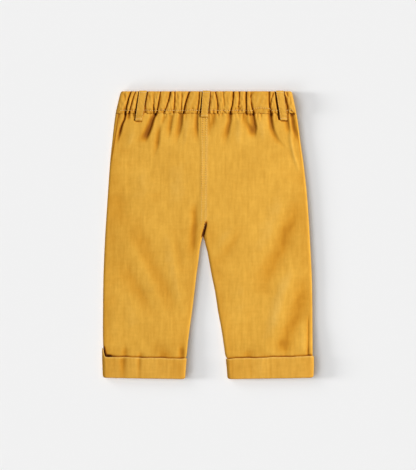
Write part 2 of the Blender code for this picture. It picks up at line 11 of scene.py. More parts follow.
import bpy
import numpy as np
from bpy.props import FloatProperty, FloatVectorProperty, IntProperty, PointerProperty
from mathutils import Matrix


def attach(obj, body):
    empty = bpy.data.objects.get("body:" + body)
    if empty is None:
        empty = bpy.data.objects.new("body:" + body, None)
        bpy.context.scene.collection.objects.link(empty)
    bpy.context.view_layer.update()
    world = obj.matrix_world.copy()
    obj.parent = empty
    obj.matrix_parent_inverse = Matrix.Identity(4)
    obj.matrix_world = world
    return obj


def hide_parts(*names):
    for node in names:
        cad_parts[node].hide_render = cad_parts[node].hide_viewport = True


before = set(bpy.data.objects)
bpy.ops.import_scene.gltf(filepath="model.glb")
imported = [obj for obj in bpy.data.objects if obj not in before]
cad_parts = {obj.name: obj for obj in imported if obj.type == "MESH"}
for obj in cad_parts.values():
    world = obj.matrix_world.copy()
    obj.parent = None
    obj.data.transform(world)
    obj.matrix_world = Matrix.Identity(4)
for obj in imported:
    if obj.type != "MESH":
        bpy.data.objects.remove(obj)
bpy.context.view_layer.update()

bl_info = {
    "name": "Linen Trousers",
    "version": (1, 0, 0),
    "blender": (4, 5, 0),
    "location": "View3D > Sidebar > Trousers",
    "description": "Sews a baby's linen trousers over their frame and lights them on a pale table",
    "category": "Object",
}

MM = 0.001
LEFT, RIGHT = -1, 1
SIDES = ((LEFT, "left"), (RIGHT, "right"))
UP, DOWN = 1, -1

# The frame's own sizes: see the outline and heights of its walls.
SEAM_GAP = 0.3
SEWN_GAP = 0.06
BAND_TOP = 179.4
BAND_SEAM = 152.0
CROTCH_TOP = 20.5
CROTCH_BOTTOM = 7.0
TURNUP_TOP = -153.0
HEM = -180.0
PANEL_HEM = -178.2
LEG_TOP = 5.0
SEAT_RISE = 0.6
CROWN = 0.6
CROWN_REACH = 18.0
EDGE_ROLL = 3.6
BAND_TOP_Z = 8.8
BAND_PINCH = 1.2
PINCH_REACH = 7.0
BAND_WALL = 2.6
GROOVE_WALL = 0.3
LIP_SHARE = 0.7
LIP_DRAW = 0.42
SEAM_DRAW = 0.25
TURNUP_WALL = 1.2
NEST = 1.5
LIFT_START = -104.0
LIFT_RUN = 38.0
FELL_WIDTH = 8.2
FELL_BOTTOM = 6.0
FLOOR_CLEAR = 0.05


def rows_of(kind, *rows):
    """A table's rows with their fields named."""
    return tuple(kind(*row) for row in rows)


Section = namedtuple("Section", "y left_edge left_inner right_inner right_edge")
BODY = rows_of(
    Section,
    (152, -115.6, -0.6, -0.3, 110.6),
    (138, -117.5, -0.8, -0.5, 112.8),
    (115, -120, -1, -0.7, 115.8),
    (93, -122.3, -1.3, -1, 119),
    (70, -124, -1.6, -1.3, 121.8),
    (48, -125.5, -1.8, -1.5, 124),
    (25, -127, -2, -1.7, 125.7),
    (16, -127.6, -2.4, -2, 126.3),
    (8, -128.1, -3.9, -3.5, 126.8),
    (0, -128.6, -6.2, -4.7, 127.2),
    (-12, -129.2, -9.2, -3.2, 127.9),
    (-20, -129.6, -10.6, -1, 128.3),
    (-35, -130.2, -12.3, 1.8, 129.1),
    (-50, -130.8, -14.4, 4.5, 129.8),
    (-72, -131.2, -17, 9, 130.3),
    (-95, -131.4, -19.8, 12.5, 130.6),
    (-117, -131.5, -22.9, 16.6, 130.7),
    (-140, -130.9, -25.7, 20.1, 130.8),
    (-148, -129.6, -26.4, 21.2, 130.8),
    (-152.6, -128.5, -27.2, 22.4, 130.7),
    (-154, -128.2, -28.5, 24.1, 130.7),
    (-166, -128.6, -29.3, 25, 130.7),
    (-180, -129.4, -30.2, 26.1, 130.3),
)
BAND = rows_of(
    Section,
    (179.4, -108.3, 0, 0, 104.2),
    (178, -109, 0, 0, 104.9),
    (175, -110.2, 0, 0, 105.7),
    (152, -115.6, 0, 0, 110.6),
)
TURNUPS = rows_of(
    Section,
    (-142, -132.4, -26.2, 22, 132.4),
    (-153, -132.4, -26.4, 22.1, 132.4),
    (-166, -132, -27.6, 23.3, 132.4),
    (-180, -131.5, -28.5, 24.4, 131.9),
)
SideSeam = namedtuple("SideSeam", "y left right")
SIDE_SEAMS = rows_of(
    SideSeam,
    (179.4, 2, 0.7),
    (178, 3.3, 2),
    (174, 3.5, 2.1),
    (138, 4, 2),
    (93, 1.6, 2.6),
    (50, 1.2, 3.8),
    (0, 1.2, 4.3),
    (-180, 1.2, 4.3),
)

# Gathers of the waistband's back: where each groove runs, how deep its puffs roll down and how far its
# sharp bottom reaches below them.
Gather = namedtuple("Gather", "top_x seam_x bow top_depth seam_depth top_notch seam_notch")
BACK_GATHERS = rows_of(
    Gather,
    (-95.8, -102.8, -1, 2.6, 3, 1.6, 1.8),
    (-90.4, -98.4, -0.6, 1.8, 2.2, 0.8, 1),
    (-85.8, -90.6, 0, 2, 2.8, 1.6, 2),
    (-75.4, -79, -0.8, 2.2, 1.6, 0.9, 0.8),
    (-67.6, -67.8, 0, 0.3, 1.6, 0, 0.7),
    (-59.4, -64.2, 0.2, 2, 2.8, 0.9, 1.8),
    (-46.8, -55.4, 1.2, 2.8, 1.4, 1.9, 0.6),
    (-41.4, -43.4, 0.6, 1.8, 1.6, 0.9, 0.6),
    (-33, -33.8, 0.4, 0.8, 1, 0, 0.3),
    (-23, -30.9, -0.8, 2.6, 2.8, 1.8, 1.8),
    (-10.4, -13.4, 0.3, 1.6, 2, 0.6, 1),
    (-6.9, -9.6, 0.3, 2.2, 2.6, 1.7, 2),
    (3.4, 0.9, -0.5, 0.9, 1, 0.1, 0.3),
    (8.6, 11.8, 1.6, 1.8, 1.8, 0.8, 1),
    (18.4, 20, 0.4, 1, 0.5, 0, 0),
    (31.6, 27.6, 1.2, 2.4, 2.6, 1.3, 1.5),
    (38.8, 36.6, 0.8, 2.2, 0.4, 1.4, 0),
    (47.7, 47.6, 0.1, 3, 2.8, 1.9, 1.8),
    (53.4, 57, -1.6, 0.7, 2, 0, 1.5),
    (76.2, 78.4, -0.8, 1.6, 2.4, 0.8, 1.8),
    (84.2, 88.3, -0.4, 2.4, 3, 1.9, 2.2),
    (94, 100.2, 0.8, 1.6, 1.8, 1, 1),
)
# The share of a gather's depth that the waistband's inner side follows, and the front's even grooves.
GATHER_INNER_SHARE = 0.5
NOTCH_WIDTH = 0.75
FRONT_GATHERS = 20
FRONT_DEPTH = 1.3
FRONT_LAND = 0.25

# Creases: troughs where depth is above 0 and ridges where it is below. Each runs down a smooth path along
# its right flank, is as wide as left and right say on its two flanks, and is deepest between its peak and
# its hold, as shares of its length. One that starts at a seam widens on its way down.
Crease = namedtuple("Crease", "path depth left right peak hold", defaults=(0.4, 0.6))
SEAT_CREASES = rows_of(
    Crease,
    (((-102.6, 152), (-103.6, 145), (-107, 137), (-110.4, 125), (-114, 112)), 3, 1.5, 1.4, 0, 0.45),
    (((-98.2, 152), (-98.8, 146), (-101, 141)), 1.24, 1.7, 2, 0, 0.3),
    (((-64, 152), (-67.4, 144.8), (-70.9, 134.4), (-76.1, 121.9), (-79.4, 113)), 3.2, 5, 2, 0, 0.62),
    (((-53, 149.5), (-56.2, 140), (-57.4, 136)), 0.88, 2.6, 1.8, 0.25, 0.4),
    (((-58.8, 141), (-60.8, 125.6), (-63.1, 109.4), (-67.8, 96)), 1.33, 4.1, 2.8, 0.3, 0.55),
    (((-44, 152), (-45.9, 137.8), (-48, 123.8), (-50.4, 114)), 1.33, 4.4, 2.4, 0.1, 0.4),
    (((-31.2, 152), (-33.1, 138.1), (-35.4, 128), (-41.3, 107)), 1.96, 4.6, 2.3, 0, 0.25),
    (((-12.8, 152), (-13.2, 143), (-13.2, 130.6), (-12.6, 112)), 1.68, 3.6, 1.7, 0, 0.4),
    (((-90, 140), (-93, 124), (-99, 104)), -0.5, 5, 5),
    (((-24, 150), (-25.6, 130), (-29, 104)), -0.5, 3.6, 3.2, 0.2, 0.5),
    (((1.6, 152), (1.4, 136), (0.8, 118)), 1.15, 1.8, 3.6, 0, 0.4),
    (((9.4, 152), (6.6, 139), (3.4, 127)), 1.33, 2.6, 3.3, 0, 0.4),
    (((28.8, 152), (28.4, 143.1), (26, 132.5), (23.8, 120.3), (21.4, 108)), 1.87, 4.1, 2.6, 0, 0.4),
    (((47.8, 152), (49.4, 141.3), (53.6, 134), (57.4, 126), (58.2, 119)), 1.23, 4.6, 3.2, 0, 0.45),
    (((57.6, 152), (58.8, 141.3), (59.8, 134.4), (58.8, 125), (58.4, 118)), 2.4, 5.4, 2, 0, 0.5),
    (((79, 152), (79.9, 143.1), (81.6, 132.5), (85, 123.6), (90.4, 115.6), (104, 101)), 2.6, 3.6, 2.2, 0, 0.05),
    (((100.2, 152), (100, 144.8), (101, 134.4), (103.4, 120)), 1.51, 3.6, 1.9, 0, 0.4),
    (((105.4, 152), (106.6, 145.6), (108.2, 134.4), (111.2, 124), (113.4, 112)), 1.87, 2, 3.6, 0, 0.45),
    (((103.4, 136), (104.9, 116.9), (107.8, 102), (112, 88), (116.8, 74)), -0.9, 2.6, 2.6, 0.25, 0.6),
    (((40, 150), (41, 130), (40, 106)), -0.5, 4, 5, 0.2, 0.5),
    (((68.4, 150), (69.4, 132), (72, 110)), -0.5, 4, 4.4, 0.2, 0.5),
)
LEG_CREASES = rows_of(
    Crease,
    (((-91, 40), (-71.3, -25.6), (-46.3, -75.6), (-39, -116)), 0.75, 15.6, 10.8),
    (((-109, -20), (-93.8, -50.6), (-71.3, -88.1), (-62, -112)), 0.67, 12, 8.4),
    (((-107, 68), (-107, 36), (-107, 2)), 0.45, 10.8, 9.6),
    (((-62, 60), (-61, 47), (-60, 34)), 0.3, 8.4, 8.4),
    (((-49.6, 14), (-41.3, -45.6), (-31.3, -85.6), (-22.4, -108)), -0.56, 7.8, 6, 0.35, 0.7),
    (((-41.3, 20), (-33.8, -30.6), (-22.8, -60)), 0.38, 5.3, 5.3),
    (((-103.8, 8), (-83.8, -30.6), (-66.3, -68.1), (-60, -108)), -0.47, 8.4, 7.2),
    (((-15.2, 48), (-14.6, 30), (-15, 8), (-18.6, -34)), 1.3, 5.6, 4.4, 0.3, 0.6),
    (((-30, 100), (-33, 60), (-36, 26)), -0.42, 10.8, 9.6),
    (((-74, 96), (-78, 66), (-80, 30)), -0.32, 10.8, 10.8),
    (((-94, -62), (-91, -100), (-88, -136)), -0.28, 8.4, 8.4),
    (((-116, -84), (-113, -112), (-112, -138)), -0.32, 6, 6),
    (((121, 58), (108.8, 16.9), (93.8, -20.6), (78.8, -53.1), (72, -90)), 1.02, 15.6, 9.6, 0.35, 0.65),
    (((124, -44), (116.3, -95.6), (106.3, -118.1), (92, -156)), 0.98, 12, 9.6, 0.35, 0.8),
    (((114, -26), (93.8, -75.6), (83.8, -113.1), (76, -140)), -0.89, 7.2, 7.8, 0.35, 0.7),
    (((49.6, 20), (31.3, -13.1), (13, -42)), 0.45, 6.6, 5.4),
    (((58, -84), (53, -104), (50, -126)), 0.26, 7.2, 7.2),
    (((38, 24), (20, -10), (8, -34)), -0.47, 7.2, 6),
    (((102, 74), (92, 32), (76, -10), (62, -44)), -0.52, 12, 10.8),
    (((40, -40), (44, -80), (46, -128)), -0.28, 10.8, 10.8),
    (((120, -100), (120, -124), (119, -150)), -0.47, 4.1, 4.1, 0.4, 0.8),
    (((125.8, -92), (125.6, -124), (125.2, -153)), 0.8, 1.6, 1.2, 0.35, 0.9),
)
# Crumples in the waistband's back, between its gathers.
BAND_CREASES = rows_of(
    Crease,
    (((-68.3, 165), (-67.5, 159), (-66.5, 153.5)), 1.3, 1.3, 0.9, 0.3, 0.8),
    (((-52, 158.5), (-53.5, 155.5), (-54.6, 152.2)), 1.1, 1.2, 0.9, 0.3, 0.9),
    (((-73, 176), (-73.4, 171), (-72.6, 165)), 0.6, 1.4, 1, 0.3, 0.6),
    (((-38.6, 178), (-38, 171), (-39.4, 164)), 0.5, 1.6, 1.2, 0.2, 0.6),
    (((-17.4, 161), (-18.6, 157), (-18, 152.4)), 0.8, 1.2, 1, 0.3, 0.9),
    (((34.3, 160), (34.8, 157), (35.1, 153.6)), 1.1, 1, 0.8, 0.3, 0.9),
    (((37.5, 162), (40, 157.6), (42.5, 153.2)), 1, 0.9, 0.8, 0.3, 0.8),
    (((42.5, 162), (40, 157.6), (37.5, 153.2)), 1, 0.9, 0.8, 0.3, 0.8),
    (((82.8, 178.6), (79.6, 170), (78.2, 159.4)), 1.5, 1.2, 1, 0.1, 0.8),
    (((56.8, 178.6), (54, 174), (52, 169)), 0.9, 1.2, 1, 0.1, 0.6),
    (((-105.4, 178), (-103.4, 172), (-102, 166)), 1, 1.8, 1.2, 0.2, 0.7),
    (((97.9, 178.2), (99, 175), (100.5, 171)), 1, 1, 0.9, 0.1, 0.7),
    (((94.9, 172), (96.8, 166), (99.3, 159.6)), 1.1, 1.2, 1, 0.2, 0.7),
    (((103, 156.4), (105.6, 153.6), (108.8, 150.4)), 1.2, 1, 1, 0.3, 0.9),
    (((-103.6, 161), (-104.4, 157), (-106, 152.4)), 0.7, 1.3, 1, 0.3, 0.8),
)
# The ledge of a tuck in the waistband and the knots where folds meet its seam.
Dip = namedtuple("Dip", "x y depth width height")
BAND_DIPS = rows_of(
    Dip,
    (67.6, 156.6, 0.35, 8, 1.2),
    (67.6, 160.4, -0.4, 8, 1.6),
    (79.4, 151, 2.4, 1.4, 2.2),
    (75.6, 153.6, 1.2, 1.6, 1.4),
    (-65.4, 150.8, 2.2, 1.6, 1.8),
    (-72, 152.4, 1, 2.4, 1),
    (-103.2, 151, 2.4, 1.2, 2.2),
    (-98.6, 151.4, 1.2, 1.2, 1.8),
    (-30.6, 152.6, 2, 1.5, 1.8),
    (-36.4, 152.2, 0.9, 2.6, 0.9),
    (-9, 153, 1.6, 1.2, 1.8),
    (28.6, 151.6, 1.9, 1.6, 1.8),
    (48, 151.4, 1.9, 1.5, 1.8),
    (52.4, 150.4, 1.6, 1.6, 1.2),
    (56.8, 151, 2, 1.4, 2),
    (107, 150.8, 1.8, 1.8, 1.4),
    (103.6, 149.6, 1.2, 1.3, 1.6),
)
# Small dips where the leg runs down into its turn-up.
HEM_DIPS = rows_of(
    Dip,
    (-104, -147, 0.9, 4, 8),
    (-84.6, -151, 1, 3.4, 5),
    (-53, -150, 0.9, 8, 5),
    (-33, -147, 1.3, 3.4, 8),
    (-60, -142, 0.4, 9, 9),
    (50, -150, 0.9, 7, 6),
    (97, -143, 0.45, 7, 12),
    (70, -151, 0.4, 5, 5),
    (125, -147, 0.5, 1.4, 7),
)
# Creases pressed into the hidden front, clear of the surface they lie on.
FRONT_CREASES = rows_of(
    Crease,
    (((-30, 152), (-36, 128), (-44, 104)), 1.2, 3.4, 3, 0, 0.4),
    (((-62, 152), (-64, 132), (-70, 112)), 1.4, 3, 3.6, 0, 0.4),
    (((-88, 152), (-92, 130), (-100, 108)), 1.1, 3.4, 3, 0, 0.4),
    (((-92, 20), (-72, -30), (-54, -84)), 0.8, 6, 5),
    (((-20, 30), (-34, -14), (-60, -50)), 0.9, 4, 5),
    (((-112, -40), (-96, -84), (-88, -128)), 0.6, 6, 5),
    (((22, 152), (26, 130), (32, 106)), 1.3, 3, 3.6, 0, 0.4),
    (((54, 152), (56, 132), (64, 110)), 1.2, 3.4, 3, 0, 0.4),
    (((86, 152), (90, 134), (96, 116)), 1.3, 3, 3.4, 0, 0.4),
    (((92, 36), (80, -16), (58, -64)), 0.8, 6, 5),
    (((12, 26), (30, -16), (50, -56)), 0.9, 5, 4),
    (((112, -52), (98, -92), (84, -134)), 0.6, 5, 6),
)

BeltLoop = namedtuple("BeltLoop", "name top_x bottom_x bottom_y")
BELT_LOOPS = (
    BeltLoop("left", -80.9, -86.9, 142.6),
    BeltLoop("centre", -1.8, -4.8, 147.2),
    BeltLoop("right", 89.4, 94.8, 143.2),
)
# Where the cloth lies out of the light beside and below the loops: creases there, painted darker as shade.
LOOP_SHADES = rows_of(
    Crease,
    (((-88.8, 153), (-89.8, 148), (-91, 142.6)), 2.2, 0.9, 0.9, 0, 0.9),
    (((88, 153), (88.9, 148), (90, 143.4)), 3.2, 1.1, 1, 0, 0.9),
    (((-7.2, 158), (-7.8, 153), (-8.2, 148)), 2, 0.9, 0.8, 0, 0.9),
)
LOOP_TOP = 180.0
LOOP_WIDTH = 9.6
LOOP_THICKNESS = 1.15
LOOP_BRIDGE = 0.25
LOOP_PRESS = 0.9
TurnUpCrease = namedtuple("TurnUpCrease", "x depth width")
TURNUP_CREASES = rows_of(
    TurnUpCrease,
    (-106, 1.25, 3.4),
    (-86, 1, 2.2),
    (-94, -0.2, 3.6),
    (-60, 0.2, 4),
    (-36, 0.2, 3),
    (48, 0.2, 4),
    (66, -0.15, 6),
    (84, 0.25, 4),
    (112, -0.2, 6),
)
CORNER_PEAK = 10.6
CORNER_REACH = 2.3
TURNUP_SLANT = {LEFT: 0.024, RIGHT: 0.030}
HEM_RISE = 1.7

# How far and how much a piece's rim and a turn-up's folds are painted paler as a highlight, and the shares
# of red, green and blue that the painted highlight and the painted shade of folds keep.
RIM_REACH = 1.4
RIM_HIGHLIGHT = 0.9
TURN_HIGHLIGHT = 1.6
PAINTED_HIGHLIGHT_SHARES = (0.99, 1.09, 1.60)
PAINTED_SHADE_SHARES = (0.86, 0.71, 0.38)

# Soft waves in the cloth: their sizes and height. Faint upright creases: their spacing, depth and length.
LEG_WAVES = (31.0, 23.0, 17.0, 12.0, 9.0), 0.07
BAND_WAVES = (12.0, 8.4, 6.2, 4.8, 3.6), 0.33
TURNUP_WAVES = (29.0, 19.0, 13.0, 9.0), 0.06
LOOP_WAVES = (9.0, 6.0, 4.0, 2.8), 0.1
LEG_STREAKS = 1.1, 0.11, 26.0
BAND_STREAKS = 0.35, 0.5, 6.0
TURNUP_STREAKS = 2.2, 0.3, 60.0

# The stage, in metres, and the camera's sensor, in millimetres.
FLOOR_HALF = 3.0
FLOOR_LEVEL = -0.0003
SENSOR = 36.0

# A form's outline, its underside and top over y, the width of its edges' roll, how far the inner edge takes
# part in it, how much the back crowns, its relief, its side seam's shift and the lowest that its upper cloth
# may lie.
Form = namedtuple("Form", "sections underside top roll inner_roll crown relief seam_shift lowest")


def srgb(code):
    """Linear colour of an sRGB hex code."""
    parts = [int(code[k : k + 2], 16) / 255 for k in (1, 3, 5)]
    return tuple(c / 12.92 if c <= 0.04045 else ((c + 0.055) / 1.055) ** 2.4 for c in parts)


def length_setting(name, description, default, low, high):
    """A length, given here in millimetres."""
    return FloatProperty(
        name=name, description=description, default=default * MM, min=low * MM, max=high * MM,
        subtype="DISTANCE", unit="LENGTH", precision=5,
    )


def colour_setting(name, description, code):
    return FloatVectorProperty(
        name=name, description=description, default=srgb(code), min=0.0, max=1.0, size=3, subtype="COLOR"
    )


def strength_setting(name, description, default):
    return FloatProperty(name=name, description=description, default=default, min=0.0)


class TrousersCloth(bpy.types.PropertyGroup):
    """Sizes and colours of the cloth and its sewing."""

    cloth_thickness: length_setting("Cloth thickness", "How thick the linen of the legs is", 0.7, 0.3, 1.2)
    crease_depth: FloatProperty(
        name="Crease depth", description="How deep the laid creases are, as a share of the real ones",
        default=1.0, min=0.0, max=1.2, subtype="FACTOR",
    )
    thread_spacing: length_setting("Thread spacing", "From one thread of the weave to the next", 0.9, 0.4, 2.0)
    stitch_length: length_setting("Stitch length", "Length of one stitch of the topstitching", 2.3, 1.0, 5.0)
    stitch_spacing: length_setting("Stitch spacing", "From one stitch's middle to the next", 3.0, 1.5, 8.0)
    thread_thickness: length_setting("Sewing thread thickness", "How thick the sewing thread is", 0.5, 0.2, 1.0)
    seed: IntProperty(name="Seed", description="Seed of the small unevenness of cloth and stitches", default=7, min=0)
    leg_colour: colour_setting("Leg colour", "Linen of the legs", "#E3A93D")
    waistband_colour: colour_setting("Waistband colour", "Linen of the gathered waistband", "#DFA339")
    loop_colour: colour_setting("Belt loop colour", "Linen of the belt loops", "#E1A63D")
    turn_up_colour: colour_setting("Turn-up colour", "Linen of the turn-ups", "#E2A73E")
    thread_colour: colour_setting("Sewing thread colour", "Cotton thread of the topstitching", "#F6CC72")


class TrousersStage(bpy.types.PropertyGroup):
    """The table, the light and the camera."""

    floor_colour: colour_setting("Floor colour", "Pale table that the trousers lie on", "#F1F1F1")
    cloth_strength: strength_setting("Soft box", "Power of the soft box on the trousers' right, in watts", 94.0)
    ceiling_strength: strength_setting("Ceiling light", "Strength of the broad light over the trousers", 0.65)
    shadow_strength: strength_setting("Shadow light", "Strength of the low lights that throw the shadow", 1.0)
    table_strength: strength_setting("Table light", "Strength of the light straight down on the table", 0.63)
    fill_strength: strength_setting("Fill light", "Strength of the even light from all round", 0.13)
    camera_height: length_setting("Camera height", "How far the camera looks down from", 2200.0, 500.0, 9000.0)
    view_height: length_setting("View height", "Length of table from the picture's top to bottom", 587.5, 100.0, 3000.0)


def ease(t):
    t = np.clip(t, 0.0, 1.0)
    return t * t * (3 - 2 * t)


def mix(a, b, t):
    return a + (b - a) * t


def smooth(ys, values, y):
    """Values at any y, on a smooth curve through places that run from high y to low."""
    rows = np.array([ys, values], float).T
    y = np.asarray(y, float)
    last = len(rows) - 1
    k = np.minimum((y[..., None] < rows[1:, 0]).sum(-1), last - 1)
    high, low = rows[k], rows[k + 1]
    before, after = rows[np.maximum(0, k - 1)], rows[np.minimum(last, k + 2)]
    span = high[..., 0] - low[..., 0]
    t = np.clip((high[..., 0] - y) / span, 0, 1)
    slope_in = (low[..., 1] - before[..., 1]) / (before[..., 0] - low[..., 0])
    slope_out = (after[..., 1] - high[..., 1]) / (high[..., 0] - after[..., 0])
    return (
        high[..., 1] * (1 + 2 * t) * (1 - t) ** 2
        + low[..., 1] * t * t * (3 - 2 * t)
        + span * (slope_in * t * (1 - t) ** 2 - slope_out * t * t * (1 - t))
    )


def at(table, column, y):
    return smooth([row.y for row in table], [getattr(row, column) for row in table], y)


def bell(distance, width):
    """1 at no distance, falling softly away over width."""
    return np.exp(-((distance / width) ** 2))


def edge_x(form, side, y):
    return at(form.sections, "left_edge" if side == LEFT else "right_edge", y)


def inner_x(form, side, y):
    return at(form.sections, "left_inner" if side == LEFT else "right_inner", y)


def rolled(distance, roll):
    """Cosine and sine of the place on a rolled edge that lies this far in from it."""
    cosine = 1 - np.clip(distance / roll, 0, 1)
    return cosine, np.sqrt(1 - cosine * cosine)


def half_skin(form, side, x, y, facing):
    """One side's outer points over (x, y), their outward directions and their relief."""
    out = side * (edge_x(form, side, y) - x)
    inward = side * (x - inner_x(form, side, y))
    low, high = form.underside(y), form.top(y)
    half = (high - low - SEAM_GAP) / 2
    cos_out, sin_out = rolled(out, form.roll)
    cos_in, sin_in = rolled(inward, form.roll)
    sink = form.inner_roll(y)
    share = sin_out * (1 - sink * (1 - sin_in))
    height = (low + high) / 2 + facing * (SEAM_GAP / 2 + half * share)
    sideways = side * (cos_out - sink * cos_in) / form.roll
    upright = facing * share / half
    length = np.sqrt(sideways**2 + upright**2)
    spread = ease(out / form.roll) * (1 - sink * (1 - ease(inward / form.roll)))
    relief = spread * form.relief(side, x, y, facing)
    if facing == UP:
        relief += form.crown * (1 - np.exp(-out / CROWN_REACH)) * (1 - sink * np.exp(-inward / CROWN_REACH))
    point = np.stack([x, y + seam_sway(x, y), height], -1)
    return point, np.stack([sideways / length, np.zeros_like(x), upright / length], -1), facing * relief


def skin(form, side, x, y, facing):
    """The outer points over (x, y), their outward directions and their relief. No side means both."""
    x, y, facing = np.broadcast_arrays(x, y, facing)
    halves = np.where(x < inner_x(form, LEFT, y) + SEAM_GAP / 2, LEFT, RIGHT) if side is None else side
    point, normal, relief = np.empty(x.shape + (3,)), np.empty(x.shape + (3,)), np.empty(x.shape)
    for half in (LEFT, RIGHT):
        for way in (UP, DOWN):
            here = (halves == half) & (facing == way)
            if here.any():
                point[here], normal[here], relief[here] = half_skin(form, half, x[here], y[here], way)
    return point, normal, relief


def seam_sway(x, y):
    """How the gathers pull the waistband's seam up and down."""
    pull = 0.32 * np.sin(x * 0.31 + 1.0) + 0.26 * np.sin(x * 0.67 + 2.2) + 0.2 * np.sin(x * 1.13)
    return pull * bell(y - BAND_SEAM, 5.0)


def leg_lift(y):
    return NEST * ease((LIFT_START - y) / LIFT_RUN)


def leg_top(y):
    return LEG_TOP + leg_lift(y) + SEAT_RISE * ease((y - 105) / 45)


def crotch_sink(y):
    return ease((CROTCH_TOP - y) / (CROTCH_TOP - CROTCH_BOTTOM))


def crease_height(crease, x, y):
    """Height that a crease adds over (x, y): a trough that slopes in from its left, or the reverse."""
    xs, ys = zip(*crease.path)
    t = (ys[0] - y) / (ys[0] - ys[-1])
    lean = math.cos(math.atan2(xs[-1] - xs[0], ys[0] - ys[-1]))
    across = (x - smooth(ys, xs, y)) * lean + 0.45 * crease.right
    spread = 1.0 if crease.peak else mix(0.8, 1.6, np.clip(t, 0, 1))
    q = across / np.where(across < 0, crease.left, crease.right) / spread
    rise = ease(t / crease.peak) if crease.peak else (t >= -0.05).astype(float)
    along = rise * (1 - ease((t - crease.hold) / (1 - crease.hold)))
    bank = np.where(q < 0, 0.15, 0.15 if crease.peak > 0.3 else 0.6)
    return -crease.depth * along * (1 - bank * q * q) * np.exp(-q * q)


def dip_height(dip, x, y):
    return -dip.depth * bell(x - dip.x, dip.width) * bell(y - dip.y, dip.height)


def unevenness(x, y, sizes, amount, seed):
    """Soft small waves in all directions, with a fixed seed."""
    rng = np.random.default_rng(seed)
    total = 0.0
    for size in sizes:
        angle, phase = rng.uniform(0, math.tau, 2)
        along = (x * math.cos(angle) + y * math.sin(angle)) * math.tau / size
        sway = 1.3 * np.sin((x * math.sin(angle) - y * math.cos(angle)) * math.tau / (size * 2.3) + phase)
        total = total + np.sin(along + sway + phase)
    return amount * total / math.sqrt(len(sizes))


def streaks(x, y, spacing, amount, length, seed):
    """Faint upright creases, uneven in place, depth and length."""
    rng = np.random.default_rng(seed)
    total = 0.0
    for place in np.arange(-132.0, 132.0, spacing):
        place += rng.uniform(-0.6, 0.6) * spacing
        width, deep, middle = rng.uniform(0.8, 2.2), rng.uniform(-0.7, 1.0), rng.uniform(-180.0, 150.0)
        lean = rng.uniform(-0.08, 0.08)
        across = (x - place - lean * (y - middle)) / width
        total = total - amount * deep * np.exp(-(across**2) - ((y - middle) / (length * rng.uniform(0.6, 1.4))) ** 2)
    return total


def puckers(x, y, way, seed):
    """Short puckers that the gathering stitches throw up or down from the waistband's seam."""
    rng = np.random.default_rng(seed)
    below = way * (y - BAND_SEAM)
    total = 0.0
    for place in np.arange(-111.0, 106.0, 3.9):
        place += rng.uniform(-1.6, 1.6)
        reach, depth, lean = rng.uniform(3, 17), rng.uniform(0.1, 1.1), rng.uniform(-0.14, 0.14)
        reach = reach if way == DOWN else 0.45 * reach
        t = below / reach
        across = (x - place - (0.0006 * place + lean) * below) / mix(0.95, 2.1, np.clip(t, 0, 1))
        total = total - depth * (1 - ease(t)) * np.exp(-(across**2))
    return total


def creased(rows, side, x, y):
    """Height that one side's creases and dips add over (x, y)."""
    total = 0.0
    for row in rows:
        dip = isinstance(row, Dip)
        if side * (row.x if dip else row.path[0][0]) > 0:
            total = total + (dip_height if dip else crease_height)(row, x, y)
    return total


def leg_relief(side, x, y, facing):
    """Folds, creases and the felled seam of the back, and the pressed creases of the hidden front."""
    cloth = bpy.context.scene.trousers_cloth
    wavy = unevenness(x, y, *LEG_WAVES, cloth.seed)
    if facing == DOWN:
        return cloth.crease_depth * np.minimum(0.0, creased(FRONT_CREASES, side, x, y) + wavy - FLOOR_CLEAR)
    height = creased(SEAT_CREASES + LEG_CREASES + HEM_DIPS + BAND_DIPS + LOOP_SHADES, side, x, y)
    for loop in BELT_LOOPS:  # a loop's end presses a dent below it
        across = ease((5.0 - abs(x - loop.bottom_x)) / 1.5)
        height = height - 1.5 * across * bell(y - loop.bottom_y + 0.7, 0.9)
    wavy = wavy + streaks(x, y, *LEG_STREAKS, cloth.seed + 4)
    height = cloth.crease_depth * (height + puckers(x, y, DOWN, cloth.seed) + wavy)
    if side == LEFT:  # the fell is raised, and flatter than the cloth beside it
        inward = inner_x(LEGS, LEFT, y) - x
        band = ease((FELL_WIDTH + 1.2 - inward) / mix(3.0, 1.3, ease((y - 90) / 50))) * ease((y - FELL_BOTTOM) / 12)
        height = np.where(inward < FELL_WIDTH + 2, height * mix(1.0, 0.35, band), height)
        height = height + band * (0.5 + 0.35 * seat_puckers(x, y))
    rim = turn_up_edge(side, x)
    corner = bell(edge_x(LEGS, side, y) - x, 8.0) if side == LEFT else 0.0
    height = height - mix(1.2, 3.6, corner) * bell(y - rim - 0.5, mix(1.0, 2.2, corner))
    return mix(height, -1.1, ease((rim - 0.5 - y) / 3))


def seat_puckers(x, y):
    """Short cross ridges between the stitches of the felled seam, 1 on a ridge and -1 between two."""
    inward = inner_x(LEGS, LEFT, y) - x
    rows = sum(bell(inward - row, 1.25) for row in SEAT_ROWS)
    return rows * np.sin(y * math.tau / 2.9 + 0.6 * np.sin(y * 0.23)) * ease((y - FELL_BOTTOM) / 12)


SEAT_ROWS = (1.5, 5.9)  # the twin rows of stitches on the felled seam, in from its raw edge


def groove_places(gathers, y):
    """x, depth and notch of each groove at y, with the waistband's side edges at the ends."""
    t = (BAND_TOP - y) / (BAND_TOP - BAND_SEAM)
    xs = [mix(g.top_x, g.seam_x, t) + g.bow * 4 * t * (1 - t) for g in gathers]
    depths = [mix(g.top_depth, g.seam_depth, t) for g in gathers]
    notches = [mix(g.top_notch, g.seam_notch, t) for g in gathers]
    places = np.stack([edge_x(WAISTBAND, LEFT, y), *xs, edge_x(WAISTBAND, RIGHT, y)])
    return places, np.stack([0 * t, *depths, 0 * t]), np.stack([0 * t, *notches, 0 * t])


